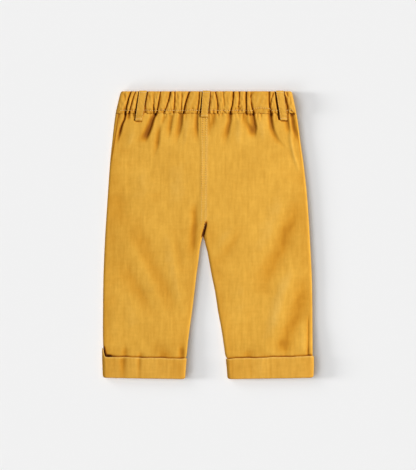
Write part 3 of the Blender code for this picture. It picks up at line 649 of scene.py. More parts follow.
def front_gathers():
    """An even rhythm of grooves for the hidden front, a little uneven in place and depth."""
    made = []
    for k in range(FRONT_GATHERS):
        share = mix(0.05, 0.95, (k + 0.5 + 0.2 * math.sin(2.4 * k)) / FRONT_GATHERS)
        depth = FRONT_DEPTH * (1 + 0.25 * math.sin(1.7 * k + 1))
        top = mix(BAND[0].left_edge, BAND[0].right_edge, share)
        seam = mix(BAND[-1].left_edge, BAND[-1].right_edge, share)
        made.append(Gather(top, seam, 0.5 * math.sin(3.1 * k), depth, depth, 0.4, 0.5))
    return made


def gather_relief(side, x, y, facing):
    """Puffed ridges between grooves with sharp bottoms."""
    rows = groove_places(BACK_GATHERS if facing == UP else FRONT_GATHER_ROWS, y)
    k = np.clip((x > rows[0]).sum(0) - 1, 0, len(rows[0]) - 2)[None]
    (x0, x1), (depth0, depth1), (notch0, notch1) = (
        [np.take_along_axis(row, k + step, 0)[0] for step in (0, 1)] for row in rows
    )
    s = np.clip((x - x0) / (x1 - x0), 0, 1)
    steep = np.where(s < 0.5, 3.2 + (x1 - x0) / 4, 1.8 + (x1 - x0) / 7)
    relief = -mix(depth0, depth1, s) * np.abs(2 * s - 1) ** steep
    relief = relief - notch0 * bell(x - x0, NOTCH_WIDTH)
    relief = relief - notch1 * bell(x1 - x, NOTCH_WIDTH)
    seed = bpy.context.scene.trousers_cloth.seed
    sewn = bell(y - band_row(x), 1.3)
    pinched = 0.5 + 0.5 * np.sin(x * 1.05 + 1.2 * np.sin(x * 0.31 + seed))
    if facing == DOWN:
        return np.minimum(0.0, relief + FRONT_LAND - sewn * 0.3 * pinched)
    for loop in BELT_LOOPS:
        middle = mix(loop.top_x, loop.bottom_x, (LOOP_TOP - y) / (LOOP_TOP - loop.bottom_y))
        relief = relief - LOOP_PRESS * ease((5.9 - abs(x - middle)) / 1.2)
    wavy = unevenness(x, y * 0.45, *BAND_WAVES, seed + 1) + streaks(x, y, *BAND_STREAKS, seed + 6)
    crumples = creased(BAND_CREASES + BAND_DIPS, side, x, y) + puckers(x, y, UP, seed + 3)
    return relief + wavy + crumples - sewn * (0.12 + 0.4 * pinched)


def band_row(x):
    """The y of the waistband's topstitching, which runs higher over the flat tuck on the right."""
    return 155.6 + 2.6 * ease((x - 55.0) / 4.0) * ease((80.0 - x) / 4.0) + 0.25 * np.sin(x * 0.21)


def band_top(y):
    return BAND_TOP_Z - BAND_PINCH * ease((BAND_SEAM + PINCH_REACH - y) / PINCH_REACH)


def turnup_relief(side, x, y, facing):
    seed = bpy.context.scene.trousers_cloth.seed
    wavy = unevenness(x, y, *TURNUP_WAVES, seed + 2) + streaks(x, y, *TURNUP_STREAKS, seed + 5)
    if facing == DOWN:
        return np.minimum(0.0, wavy - FLOOR_CLEAR)
    creases = sum(c.depth * bell(x - c.x, c.width) for c in TURNUP_CREASES)
    return wavy - creases * mix(0.3, 1.0, ease((y - HEM) / 22))


def none(y):
    """0 at every y."""
    return 0.0 * y


def full(y):
    """1 at every y."""
    return 1.0 + 0.0 * y


def turn_up_top(y):
    return leg_top(HEM) + NEST + 0.0 * y


FRONT_GATHER_ROWS = front_gathers()
LEGS = Form(BODY, leg_lift, leg_top, EDGE_ROLL, crotch_sink, CROWN, leg_relief, 0.0, 1.7)
WAISTBAND = Form(BAND, none, band_top, EDGE_ROLL, none, 0.0, gather_relief, 0.0, 3.2)
TURNED = Form(TURNUPS, none, turn_up_top, EDGE_ROLL + NEST, full, CROWN, turnup_relief, NEST, 1.7)


def held_up(form, point, relief):
    """The relief of the upper cloth, stopped where it would press into the cloth under it."""
    return np.maximum(relief, np.minimum(0.0, form.lowest - point[..., 2]))


def side_seam(form, side, y):
    distance = at(SIDE_SEAMS, "left" if side == LEFT else "right", y) + form.seam_shift
    return edge_x(form, side, y) - side * distance


def arc(roll, steps):
    """Distances in from a rolled edge, in even steps round a quarter of it."""
    return roll * (1 - np.cos(np.linspace(0, math.pi / 2, steps)))


def stretch(start, stop, steps):
    """Even columns from start towards stop, without stop, for every row."""
    return mix(start[..., None], stop[..., None], np.linspace(0, 1, steps, endpoint=False))


def from_inner_edge(form, side, inner, stop, roll_steps, steps):
    """Columns from a piece's inner edge over its roll, and then evenly towards stop."""
    roll = inner[:, None] + side * arc(form.roll, roll_steps)[:-1]
    return np.concatenate([roll, stretch(inner + side * form.roll, stop, steps)], 1)


def side_wrap(form, side, y, steps):
    """Columns from under the piece round its outer edge to the side seam on top: x, facing and seam x."""
    edge, seam = edge_x(form, side, y)[:, None], side_seam(form, side, y)[:, None]
    angle = np.arccos(1 - np.clip(side * (edge - seam) / form.roll, 0, 1))
    under = edge - side * arc(form.roll, steps)[::-1]
    over = edge - side * form.roll * (1 - np.cos(angle * np.linspace(0, 1, steps)[:-1]))
    x = np.concatenate([under, over, seam + side * SEWN_GAP / 2], -1)
    facing = np.where(np.arange(x.shape[1]) < steps, DOWN, UP) + np.zeros(x.shape, int)
    return x, facing, np.concatenate([under, over, seam], -1)


def shoulder_to_seam(form, side, y, steps):
    """Columns over the shoulder of the outer edge to the side seam: x and seam x."""
    edge, seam = edge_x(form, side, y), side_seam(form, side, y)
    end = seam - side * SEWN_GAP / 2
    shoulder = side * np.minimum(side * edge - form.roll, side * end - 1.2)
    shares = np.linspace(0, 1, steps)
    return mix(shoulder[..., None], end[..., None], shares), mix(shoulder[..., None], seam[..., None], shares)


def shell_points(form, side, x, y, facing, wall_x, thickness, inner_share=1.0, draw=None):
    """The outer and inner points of a shell on a form, rows by columns, and how deep its skin is folded.

    The shell runs along the skin's direction at wall_x. draw gives, for each row, how far its outer and
    inner points draw together, as shares of the shell there.
    """
    x, y, facing, wall_x = np.broadcast_arrays(x, y, facing, wall_x)
    point, _, relief = skin(form, side, x, y, facing)
    normal = skin(form, side, wall_x, y, facing)[1]
    lift = np.zeros_like(point)
    lift[..., 2] = np.where(facing > 0, held_up(form, point, relief), relief)
    outer = point + lift
    inner = point - normal * thickness + lift * inner_share
    if 0 < inner_share < 1:  # the bottom of a groove keeps some cloth
        inner[..., 2] = np.minimum(inner[..., 2], outer[..., 2] - GROOVE_WALL)
    if draw is not None:
        outward, inward = (share[:, None, None] for share in draw)
        outer, inner = mix(outer, inner, outward), mix(inner, outer, inward)
    # Rims are painted paler, a painted highlight.
    edge = np.where(x < 0, x - edge_x(form, LEFT, y), edge_x(form, RIGHT, y) - x)
    rim = bell(edge, RIM_REACH)
    if side is not None:
        rim = rim + bell(x - inner_x(form, side, y), RIM_REACH)
    return outer, inner, np.where(facing > 0, form.crown - relief, relief) - RIM_HIGHLIGHT * rim


def group_of(name):
    """The collection that a set of lights shines on."""
    group = bpy.data.collections.get(name)
    if group is None:
        group = bpy.data.collections.new(name)
        bpy.context.scene.collection.children.link(group)
    return group


def add_piece(name, vertices, faces, uv, fold, material):
    """A finished mesh object, in metres at the origin, with its cloth map and fold shading."""
    mesh = bpy.data.meshes.new(name)
    mesh.from_pydata(vertices * MM, [], faces)
    layer = mesh.uv_layers.new(name="cloth")
    corner = np.empty(len(mesh.loops), np.int32)
    mesh.loops.foreach_get("vertex_index", corner)
    layer.data.foreach_set("uv", (uv[corner] * MM).astype(np.float32).ravel())
    # The fold attribute carries painted shade for folds and a painted highlight for ridges and rims.
    shade = mesh.attributes.new("fold", "FLOAT", "POINT")
    shade.data.foreach_set("value", np.clip(fold, -0.5, 2).astype(np.float32))
    mesh.shade_smooth()
    mesh.set_sharp_from_angle(angle=math.radians(50))
    mesh.materials.append(material)
    mesh.update()
    made = bpy.data.objects.new(name, mesh)
    group_of("trousers").objects.link(made)
    return made


def closed_shell(name, outer, inner, depth, material):
    """One closed shell through two grids of points."""
    rows, columns = outer.shape[:2]
    count = rows * columns
    number = np.arange(count).reshape(rows, columns)
    corners = number[:-1, :-1], number[:-1, 1:], number[1:, 1:], number[1:, :-1]
    front = np.stack(corners, -1).reshape(-1, 4)
    rim = np.concatenate([number[0], number[1:, -1], number[-1, -2::-1], number[-2::-1, 0]])
    side = np.stack([rim[:-1], rim[:-1] + count, rim[1:] + count, rim[1:]], 1)
    faces = np.concatenate([front, front[:, ::-1] + count, side])
    vertices = np.concatenate([outer.reshape(-1, 3), inner.reshape(-1, 3)])
    p = vertices[faces]
    volume = sum((p[:, 0] * np.cross(p[:, k], p[:, k + 1])).sum() for k in (1, 2))
    if volume < 0:
        faces = faces[:, ::-1]
    across = np.linalg.norm(np.diff(outer[..., [0, 2]], axis=1), axis=-1)
    u = np.concatenate([np.zeros((rows, 1)), np.cumsum(across, 1)], 1)
    middle = [columns // 2]
    u = u - u[:, middle] + abs(outer[:, middle, 0])
    down = np.linalg.norm(np.diff(outer[..., 1:], axis=0), axis=-1)
    v = np.concatenate([np.zeros((1, columns)), np.cumsum(down, 0)], 0)
    uv = np.stack([u, v], -1).reshape(-1, 2)
    # How deep a place is folded becomes painted shade, and a ridge or rim becomes a painted highlight.
    fold = 0.25 + depth.ravel() / FOLD_FULL
    return add_piece(name, vertices, faces.tolist(), np.tile(uv, (2, 1)), np.tile(fold, 2), material)
FOLD_FULL = 3.7  # from a ridge 0.9 mm high to a fold 2.8 mm deep the shade runs from none to whole


def node(tree, kind, inputs=(), output=0, **settings):
    """Adds a node with its settings and gives an output. An input is a value or another node's output."""
    made = tree.nodes.new(kind)
    for name, value in settings.items():
        setattr(made, name, value)
    for socket, value in dict(inputs).items():
        if isinstance(value, bpy.types.NodeSocket):
            tree.links.new(value, made.inputs[socket])
        else:
            made.inputs[socket].default_value = value
    return made.outputs[output] if made.outputs else None


def new_material(name):
    """A new material, its nodes and its shader's inputs."""
    made = bpy.data.materials.new(name)
    made.use_nodes = True
    return made, made.node_tree, made.node_tree.nodes["Principled BSDF"].inputs


def linen(name, colour, fold_shade):
    """Plain-woven, piece-dyed linen, washed soft.

    The yarns are round and matt, so the cloth shows no gloss, only a faint paler sheen at grazing angles.
    Slubs, the thick places of the flax yarn, run as short streaks along both threads, and the dye is a
    little uneven. Ridges and rims are painted paler, a painted highlight, and folds are painted darker and
    redder, a painted shade.
    """
    made, tree, shader = new_material(name)
    # Real yarns lie 0.5 mm apart, too fine to show, so they are drawn at the thread spacing.
    spacing = bpy.context.scene.trousers_cloth.thread_spacing
    cloth = node(tree, "ShaderNodeUVMap", uv_map="cloth")
    yarns = {"Vector": cloth, "Scale": math.tau / 20 / spacing / 2, "Distortion": 0.6, "Detail": 1.0}
    warp, weft = (node(tree, "ShaderNodeTexWave", yarns, "Fac", bands_direction=way) for way in "XY")
    over = node(tree, "ShaderNodeTexChecker", {"Vector": cloth, "Scale": 1 / spacing}, "Fac")
    weave = node(tree, "ShaderNodeMix", {0: over, 2: warp, 3: weft})
    # Slubs are 1 to 4 mm thick and about 20 mm long, along the warp and along the weft.
    slubs = []
    for scale, detail, roughness in (((250.0, 50.0, 1.0), 4.0, 0.62), ((60.0, 320.0, 1.0), 3.0, 0.5)):
        place = node(tree, "ShaderNodeMapping", {"Vector": cloth, "Scale": scale})
        noise = {"Vector": place, "Scale": 1.0, "Detail": detail, "Roughness": roughness}
        slubs.append(node(tree, "ShaderNodeTexNoise", noise, "Fac"))
    slub = node(tree, "ShaderNodeMix", {0: 0.25, 2: slubs[0], 3: slubs[1]})
    # The dye is cloudy over 30 to 60 mm.
    cloud = node(tree, "ShaderNodeTexNoise", {"Vector": cloth, "Scale": 22.0, "Detail": 2.0}, "Fac")
    tone = 1.0
    for pattern, low, high, least, most in (
        (slub, 0.36, 0.64, 0.93, 1.065),
        (cloud, 0.3, 0.7, 0.935, 1.045),
        (weave, 0.0, 1.0, 0.98, 1.015),
    ):
        share = node(tree, "ShaderNodeMapRange", {0: pattern, 1: low, 2: high, 3: least, 4: most})
        tone = node(tree, "ShaderNodeMath", {0: tone, 1: share}, operation="MULTIPLY")
    # From a ridge's painted highlight to the painted shade at a fold's bottom, each colour takes over from the one
    # before.
    pale, dark = (tuple(c * k for c, k in zip(colour, shares)) for shares in (PAINTED_HIGHLIGHT_SHARES, PAINTED_SHADE_SHARES))
    fold = node(tree, "ShaderNodeAttribute", output="Fac", attribute_name="fold")
    shaded = (*pale, 1.0)
    for shade, start, stop, most in (
        (colour, -0.05, 0.24, 1.0),
        (dark, 0.27, 0.58, 1.0),
        (srgb("#86450A"), 0.5, 0.95, fold_shade),
        (srgb("#451A03"), 1.0, 1.7, 0.9),
    ):
        share = node(tree, "ShaderNodeMapRange", {0: fold, 1: start, 2: stop, 3: 0.0, 4: most})
        shaded = node(tree, "ShaderNodeMix", {0: share, 6: shaded, 7: (*shade, 1.0)}, 2, data_type="RGBA")
    # Where the dye is deeper it is also redder: green and blue fall off faster than red.
    green, blue = (node(tree, "ShaderNodeMath", {0: tone, 1: k}, operation="POWER") for k in (1.3, 2.2))
    tones = node(tree, "ShaderNodeCombineXYZ", {0: tone, 1: green, 2: blue})
    toned = node(tree, "ShaderNodeVectorMath", {0: shaded, 1: tones}, operation="MULTIPLY")
    tree.links.new(toned, shader["Base Color"])
    height = node(tree, "ShaderNodeMath", {0: weave, 1: slub}, operation="ADD")
    bump = node(tree, "ShaderNodeBump", {"Height": height, "Strength": 0.25, "Distance": 0.25 * MM})
    tree.links.new(bump, shader["Normal"])
    shader["Roughness"].default_value = 0.88
    shader["IOR"].default_value = 1.53  # flax fibre
    shader["Specular IOR Level"].default_value = 0.1
    shader["Sheen Weight"].default_value = 0.02
    shader["Sheen Roughness"].default_value = 0.5
    shader["Sheen Tint"].default_value = (*srgb("#F2CE86"), 1.0)
    return made


def sewing_thread():
    """Mercerised cotton sewing thread: a twisted round yarn, a touch glossier and paler than the cloth."""
    made, tree, shader = new_material("mercerised_cotton_thread")
    place = node(tree, "ShaderNodeTexCoord", output="Object")
    # The ply twists round once in about 1 mm.
    ply = {"Vector": place, "Scale": math.tau / 20 / MM}
    twist = node(tree, "ShaderNodeTexWave", ply, "Fac", bands_direction="DIAGONAL")
    tone = node(tree, "ShaderNodeMapRange", {0: twist, 3: 0.86, 4: 1.05})
    colour = tuple(bpy.context.scene.trousers_cloth.thread_colour)
    toned = node(tree, "ShaderNodeVectorMath", {0: colour, 3: tone}, operation="SCALE")
    tree.links.new(toned, shader["Base Color"])
    shader["Roughness"].default_value = 0.6
    shader["IOR"].default_value = 1.5
    shader["Specular IOR Level"].default_value = 0.3
    return made


def stitch_tree():
    """Geometry nodes that lay a stitch at even spacing along every path of a mesh."""
    if "Stitches" in bpy.data.node_groups:
        return bpy.data.node_groups["Stitches"]
    tree = bpy.data.node_groups.new("Stitches", "GeometryNodeTree")
    sizes = [(name, "Float") for name in ("Stitch Length", "Stitch Spacing", "Thread Thickness")]
    for name, kind in [("Paths", "Geometry"), *sizes, ("Seed", "Int")]:
        tree.interface.new_socket(name, in_out="INPUT", socket_type=f"NodeSocket{kind}")
    tree.interface.new_socket("Stitches", in_out="OUTPUT", socket_type="NodeSocketGeometry")
    given = node(tree, "NodeGroupInput").node.outputs
    curve = node(tree, "GeometryNodeMeshToCurve", {"Mesh": given["Paths"]})
    along = {"Curve": curve, "Length": given["Stitch Spacing"]}
    even = node(tree, "GeometryNodeResampleCurve", along, mode="LENGTH")
    thick = given["Thread Thickness"]
    size = node(tree, "ShaderNodeCombineXYZ", {0: given["Stitch Length"], 1: thick, 2: thick})
    ball = node(tree, "GeometryNodeMeshUVSphere", {"Segments": 6, "Rings": 5, "Radius": 0.5})
    turned = node(tree, "GeometryNodeTransform", {"Geometry": ball, "Rotation": (0.0, math.pi / 2, 0.0)})
    stitch = node(tree, "GeometryNodeTransform", {"Geometry": turned, "Scale": size})
    tangent = node(tree, "GeometryNodeInputTangent")
    aligned = node(tree, "FunctionNodeAlignRotationToVector", {"Vector": tangent}, axis="X")
    uneven = {"Min": (0.88, 0.9, 0.9), "Max": (1.08, 1.1, 1.1), "Seed": given["Seed"]}
    vary = node(tree, "FunctionNodeRandomValue", uneven, data_type="FLOAT_VECTOR")
    row = {"Points": even, "Instance": stitch, "Rotation": aligned, "Scale": vary}
    laid = node(tree, "GeometryNodeInstanceOnPoints", row)
    real = node(tree, "GeometryNodeRealizeInstances", {"Geometry": laid})
    smoothed = node(tree, "GeometryNodeSetShadeSmooth", {"Geometry": real})
    coloured = node(tree, "GeometryNodeSetMaterial", {"Geometry": smoothed, "Material": sewing_thread()})
    node(tree, "NodeGroupOutput", {"Stitches": coloured})
    return tree


def sew(name, paths, length=None, spacing=None, thickness=None):
    """Rows of stitches along paths of points, in millimetres, as one plain mesh."""
    settings = bpy.context.scene.trousers_cloth
    ends = np.cumsum([len(path) for path in paths])
    edges = [(k, k + 1) for k in range(ends[-1] - 1) if k + 1 not in ends]
    mesh = bpy.data.meshes.new(name)
    mesh.from_pydata(np.concatenate(paths) * MM, edges, [])
    made = bpy.data.objects.new(name, mesh)
    group_of("trousers").objects.link(made)
    modifier = made.modifiers.new("stitches", "NODES")
    modifier.node_group = stitch_tree()
    values = {
        "Stitch Length": length or settings.stitch_length,
        "Stitch Spacing": spacing or settings.stitch_spacing,
        "Thread Thickness": thickness or settings.thread_thickness,
        "Seed": settings.seed,
    }
    for item in modifier.node_group.interface.items_tree:
        if item.name in values:
            modifier[item.identifier] = values[item.name]
    bpy.context.view_layer.update()
    evaluated = made.evaluated_get(bpy.context.evaluated_depsgraph_get())
    plain = bpy.data.meshes.new_from_object(evaluated)
    made.modifiers.remove(modifier)
    made.data = plain
    plain.name = name
    if not plain.polygons:
        raise RuntimeError(f"{name} has no stitches")
    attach(made, "root")
    return made


def on_surface(form, side, x, y, lift):
    """Points on a form's upper surface, raised a little."""
    point, _, relief = skin(form, side, x, y, UP)
    point[..., 2] += held_up(form, point, relief) + lift
    return point


def finish_cloth(piece, solid, slot, **sheet):
    """Hangs a piece of cloth under the root, in its solid's place, and hides the solid."""
    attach(piece, "root")
    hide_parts(solid)


def seat_edge(side, y):
    """A panel's inner edge, drawn up to the other leg's where the two are sewn together."""
    edge = inner_x(LEGS, side, y)
    if side == LEFT:
        return edge
    return edge - (edge - inner_x(LEGS, LEFT, y) - SEWN_GAP) * ease((y + 5.0) / 4.0)


def leg_rows(fine):
    """The y of a panel's rows, closest under the waistband."""
    stops = (BAND_SEAM - SEWN_GAP, 104.0, 16.0, LIFT_START, PANEL_HEM)
    spans = zip(stops, stops[1:], (0.85, 0.95, 2.2, 1.4))
    rows = [np.linspace(a, b, round((a - b) / (step * fine)), endpoint=False) for a, b, step in spans]
    return np.concatenate([*rows, [PANEL_HEM]])


# The gap behind the left turn-up's raised corner, painted as shade.
CORNER_GAP = ((-131.2, -141.2), (-129.9, -146.8), (-128.6, -151.4), (-126.9, -152.8), (-122.6, -152.2))


def distance_to(line, x, y):
    """How far each (x, y) lies from a line through points."""
    nearest = np.inf
    for (x0, y0), (x1, y1) in zip(line, line[1:]):
        t = np.clip(((x - x0) * (x1 - x0) + (y - y0) * (y1 - y0)) / ((x1 - x0) ** 2 + (y1 - y0) ** 2), 0, 1)
        nearest = np.minimum(nearest, np.hypot(x - mix(x0, x1, t), y - mix(y0, y1, t)))
    return nearest


def deepest(side, x, y):
    """Extra shade where the cloth goes out of the light: the crotch, the turn-up's gap and its top edge."""
    inward = side * (x - seat_edge(side, y))
    crotch = ease((2.3 - inward) / 1.5) * ease((20.0 - y) / 9.0) * ease((y + 4.0) / 4.0)
    above = y - turn_up_edge(side, x)
    line = bell(above - 0.3, 0.9)
    gap = bell(distance_to(CORNER_GAP, x, y), 2.2)
    sewn = bell(x - side_seam(LEGS, side, y), 0.8) * ease((y - 84) / 20)
    ridges = seat_puckers(x, y) - 0.15 if side == LEFT else 0.0
    ridges = ridges * np.exp(-(((inward - 4.0) / 4.2) ** 6)) * ease((y - FELL_BOTTOM) / 12)
    # All painted: shade at the crotch, the turn-up's gap, the line above its edge and the side seam, and a highlight on
    # the fell's pucker ridges with shade between them.
    return 6.4 * crotch + 1.6 * line + 8.0 * gap + (1.7 if side == LEFT else 0.7) * sewn - 0.95 * ridges


def leg_panel(side, x, y, facing, wall):
    """A leg panel's shell, with its sloped hem and its shades."""
    thickness = bpy.context.scene.trousers_cloth.cloth_thickness / MM
    outer, inner, depth = shell_points(LEGS, side, x, y[:, None], facing, wall, thickness)
    for points in (outer, inner):
        slope_hem(points)
    return outer, inner, depth + (facing == UP) * deepest(side, x, y[:, None])


def back_panel(side):
    y = leg_rows(1.0)
    inner = seat_edge(side, y)
    fell = inner + side * (FELL_WIDTH + 1.4)
    end, end_wall = shoulder_to_seam(LEGS, side, y, steps=8)
    start = from_inner_edge(LEGS, side, inner, fell, 11, 15), stretch(fell, end[:, 0], steps=140)
    return leg_panel(side, np.concatenate([*start, end], 1), y, UP, np.concatenate([*start, end_wall], 1))


def front_panel(side):
    y = leg_rows(2.2)
    end, end_facing, end_wall = side_wrap(LEGS, side, y, steps=10)
    start = from_inner_edge(LEGS, side, seat_edge(side, y), end[:, 0], 9, 56)
    facing = np.concatenate([np.full(start.shape, DOWN), end_facing], 1)
    return leg_panel(side, np.concatenate([start, end], 1), y, facing, np.concatenate([start, end_wall], 1))


def band_rows(step):
    """The waistband's rows from its rounded top edge to its seam, and how far each draws together."""
    lip = BAND_WALL * LIP_SHARE
    turn = np.radians(np.linspace(0, 90, 7))[:-1]
    body = np.linspace(BAND_TOP - lip, BAND_SEAM, 38)
    y = np.concatenate([BAND_TOP - lip * (1 - np.cos(turn)), body])[::step]
    draw = np.concatenate([1 - np.sin(turn), 0 * body])[::step]
    y[-1], draw[-1] = BAND_SEAM, SEAM_DRAW
    return y, (LIP_DRAW * draw, LIP_DRAW * draw)


# Columns between two grooves, closest beside them, where the cloth is steepest.
GROOVE_SHARES = (0.0, 0.025, 0.055, 0.09, 0.14, 0.21, 0.3, 0.4, 0.5, 0.6, 0.7, 0.79, 0.86, 0.91, 0.945, 0.975)


def waistband_back():
    y, draws = band_rows(1)
    seams = [side_seam(WAISTBAND, side, y) for side in (LEFT, RIGHT)]
    left, right = seams[0] + SEWN_GAP / 2, seams[1] - SEWN_GAP / 2
    lines = [left, *groove_places(BACK_GATHERS, y)[0][1:-1], right]
    x = np.stack([mix(a, b, share) for a, b in zip(lines, lines[1:]) for share in GROOVE_SHARES] + [right], 1)
    wall = x.copy()
    wall[:, 0], wall[:, -1] = seams
    return shell_points(WAISTBAND, None, x, y[:, None], UP, wall, BAND_WALL, GATHER_INNER_SHARE, draws)


def waistband_front():
    y, draws = band_rows(2)
    left, right = (side_wrap(WAISTBAND, side, y, steps=9) for side in (LEFT, RIGHT))
    lines = [left[0][:, 0], *groove_places(FRONT_GATHER_ROWS, y)[0][1:-1], right[0][:, 0]]
    middle = np.stack([mix(a, b, s) for a, b in zip(lines, lines[1:]) for s in GROOVE_SHARES[::2]], 1)[:, 1:]
    x, facing, wall = (
        np.concatenate([a[:, ::-1], between, b], 1)
        for a, between, b in zip(left, (middle, np.full(middle.shape, DOWN), middle), right)
    )
    return shell_points(WAISTBAND, None, x, y[:, None], facing, wall, BAND_WALL, 0.0, draws)


def turn_up_edge(side, x):
    """The y of a turn-up's free top edge over x."""
    edge, inner = edge_x(TURNED, side, TURNUP_TOP), inner_x(TURNED, side, TURNUP_TOP)
    out = np.maximum(0.0, side * (edge - x))
    y = TURNUP_TOP - 1.4 + TURNUP_SLANT[side] * (abs(edge - inner) - out)
    y = y + 0.25 * np.sin(x * 0.16 + side) + 0.15 * np.sin(x * 0.41)
    if side == LEFT:
        y = y + CORNER_PEAK * bell(out, CORNER_REACH)
    return y


def slope_hem(points):
    """Draws a hem up towards its outer end."""
    x, y = points[..., 0], points[..., 1]
    share = np.clip((TURNUP_TOP - y) / (TURNUP_TOP - HEM), 0, 1)
    points[..., 1] += HEM_RISE * share * np.clip((abs(x) - 26.0) / 104.0, 0, 1)


def round_corners(points, side):
    """Rounds the two bottom corners of a turn-up in its outline."""
    x, y = points[..., 0].copy(), points[..., 1]
    inset = 2.6 * (1 - np.sqrt(1 - np.clip((-177.4 - y) / 2.6, 0, 1) ** 2))
    for edge, way in ((edge_x(TURNED, side, y), side), (inner_x(TURNED, side, y), -side)):
        points[..., 0] -= way * inset * ease(1 - way * (edge - x) / 8.0)


def turn_up(side, way):
    """Half a turn-up, from its free edge down to the fold that takes in the leg's hem."""
    top = np.array([TURNUP_TOP])
    if way == UP:
        end, end_wall = shoulder_to_seam(TURNED, side, top, steps=9)
        end_facing, steps = np.full(end.shape, UP), 96
    else:
        end, end_facing, end_wall = side_wrap(TURNED, side, top, steps=10)
        steps = 44
    near, far = inner_x(TURNED, side, top), edge_x(TURNED, side, top)
    start = from_inner_edge(TURNED, side, near, end[:, 0], 9, steps)
    columns, walls = (np.concatenate([start, part], 1) for part in (end, end_wall))
    facing = np.concatenate([np.full(start.shape, way), end_facing], 1)
    fold = PANEL_HEM - SEAM_GAP
    shares = np.concatenate([[0.0, 0.012, 0.03, 0.055], np.linspace(0.09, 1.0, 24)])
    rounding = np.array([0.62, 0.3, 0.1] + [0.0] * 25)
    turn = np.radians(np.linspace(0, 90, 6))
    hem = fold - (fold - HEM) * np.sin(turn)[:, None] + 0 * columns
    y = np.concatenate([mix(turn_up_edge(side, columns), fold + 0.05, shares[:, None]), hem])
    here = inner_x(TURNED, side, y)
    spread = (edge_x(TURNED, side, y) - here) / (far - near)
    x, wall = (here + (places - near) * spread for places in (columns, walls))
    # The free edge is rounded, and at the hem the fold turns under.
    outward = 0.8 * np.concatenate([rounding, 1 - np.cos(turn)])
    inward = np.concatenate([0.6 * rounding, -1.25 * np.cos(0.62 * turn)])
    outer, inner, depth = shell_points(TURNED, side, x, y, facing, wall, TURNUP_WALL, 1.0, (outward, inward))
    for points in (outer, inner):
        round_corners(points, side)
        slope_hem(points)
    # The free edge and the fold at the hem are painted paler, a painted highlight.
    for row, share in ((0, 1.0), (1, 1.0), (2, 0.9), (3, 0.5), (-1, 0.5), (-2, 0.4)):
        depth[row] = mix(depth[row], -TURN_HIGHLIGHT, share)
    return outer, inner, depth


def surface_height(x, y):
    """The height of the trousers' upper surface over (x, y), waistband or seat."""
    band, seat = (on_surface(form, None, x, y, 0.0)[..., 2] for form in (WAISTBAND, LEGS))
    return np.where(y >= BAND_SEAM, band, seat)


def belt_loop(loop):
    """A folded strip that lies on the highest points under it and arches a little between its ends."""
    rows, around = 72, 17
    t = np.linspace(0, 1, rows)
    x, y = mix(loop.top_x, loop.bottom_x, t), mix(LOOP_TOP, loop.bottom_y, t)
    half_width = mix(1.0, 0.84, t)[:, None] * LOOP_WIDTH / 2
    under_x = (x[:, None] + half_width * np.linspace(-1, 1, 9))[..., None]
    under_y = np.minimum(BAND_TOP, y[:, None, None] + np.linspace(-3.5, 3.5, 8))
    rest = surface_height(under_x, under_y).max((1, 2))
    weights = np.hanning(13)  # the strip is stiff, so its height changes slowly
    rest = np.maximum(rest, np.convolve(np.pad(rest, 6, "edge"), weights / weights.sum(), "valid"))
    rest = rest + SEAM_GAP + LOOP_BRIDGE * np.sin(math.pi * t) ** 2
    thick = LOOP_THICKNESS * (1 - 0.12 * bell(t - 0.93, 0.03))
    end = np.minimum(t, 1 - t) * (LOOP_TOP - loop.bottom_y)
    nose = np.sqrt(1 - np.clip(1 - end / 0.9, 0, 1) ** 2)
    across = np.sin(np.linspace(-math.pi / 2, math.pi / 2, around))
    rim = np.sqrt(np.sqrt(np.clip(1 - across**2, 0, 1)))
    dent = 0.12 * bell(np.abs(across) - 0.72, 0.12) * (rim > 0)
    middle, half = (rest + thick / 2)[:, None], (thick * nose / 2)[:, None] * rim
    place = x[:, None] + half_width * across, np.repeat(y[:, None], around, 1)
    top = middle + half - dent + rim * unevenness(*place, *LOOP_WAVES, 11)
    bottom = middle - half
    outer, inner = (np.stack([*place, z], -1) for z in (np.maximum(top, bottom + 0.05), bottom))
    return outer, inner, np.zeros(outer.shape[:2])


class TROUSERS_OT_legs(bpy.types.Operator):
    """Lay the four leg panels and sew the felled seat seam"""

    bl_idname = "trousers.legs"
    bl_label = "Leg panels"

    def execute(self, context):
        cloth = linen("washed_linen_legs", context.scene.trousers_cloth.leg_colour, 0.8)
        y = np.arange(BAND_SEAM - 6.5, FELL_BOTTOM + 2.0, -1.0)
        rows = [on_surface(LEGS, LEFT, inner_x(LEGS, LEFT, y) - row, y, 0.15) for row in SEAT_ROWS]
        seam = sew("seat_seam_stitches", rows, length=1.7 * MM, thickness=0.62 * MM)
        for side, word in SIDES:
            back = closed_shell(f"back_{word}", *back_panel(side), cloth)
            finish_cloth(
                back, f"back_panel_{word}", "leg_linen",
                flat=(0.140, 0.332), area=0.0405, held="laid", rests_on=[f"front_panel_{word}"],
                with_pieces=[seam] if side == LEFT else [],
            )
            front = closed_shell(f"front_{word}", *front_panel(side), cloth)
            finish_cloth(
                front, f"front_panel_{word}", "leg_linen",
                flat=(0.142, 0.332), area=0.0415, held="laid", rests_on=["floor"],
            )
        return {"FINISHED"}


class TROUSERS_OT_waistband(bpy.types.Operator):
    """Gather the waistband's back and front and topstitch them"""

    bl_idname = "trousers.waistband"
    bl_label = "Waistband"

    def execute(self, context):
        cloth = linen("washed_linen_waistband", context.scene.trousers_cloth.waistband_colour, 0.6)
        start, stop = (side_seam(WAISTBAND, side, 156.0) - 2.0 * side for side in (LEFT, RIGHT))
        x = np.arange(start, stop, 0.5)
        row = on_surface(WAISTBAND, None, x, band_row(x), 0.35)
        stitches = sew("waistband_stitches", [row], thickness=0.8 * MM)
        back = closed_shell("waistband_back_casing", *waistband_back(), cloth)
        finish_cloth(
            back, "waistband_back", "waistband_linen",
            flat=(0.300, 0.030), held="gathered", rests_on=["waistband_front"], with_pieces=[stitches],
        )
        front = closed_shell("waistband_front_casing", *waistband_front(), cloth)
        finish_cloth(
            front, "waistband_front", "waistband_linen",
            flat=(0.280, 0.030), held="gathered", rests_on=["floor"],
        )
        return {"FINISHED"}


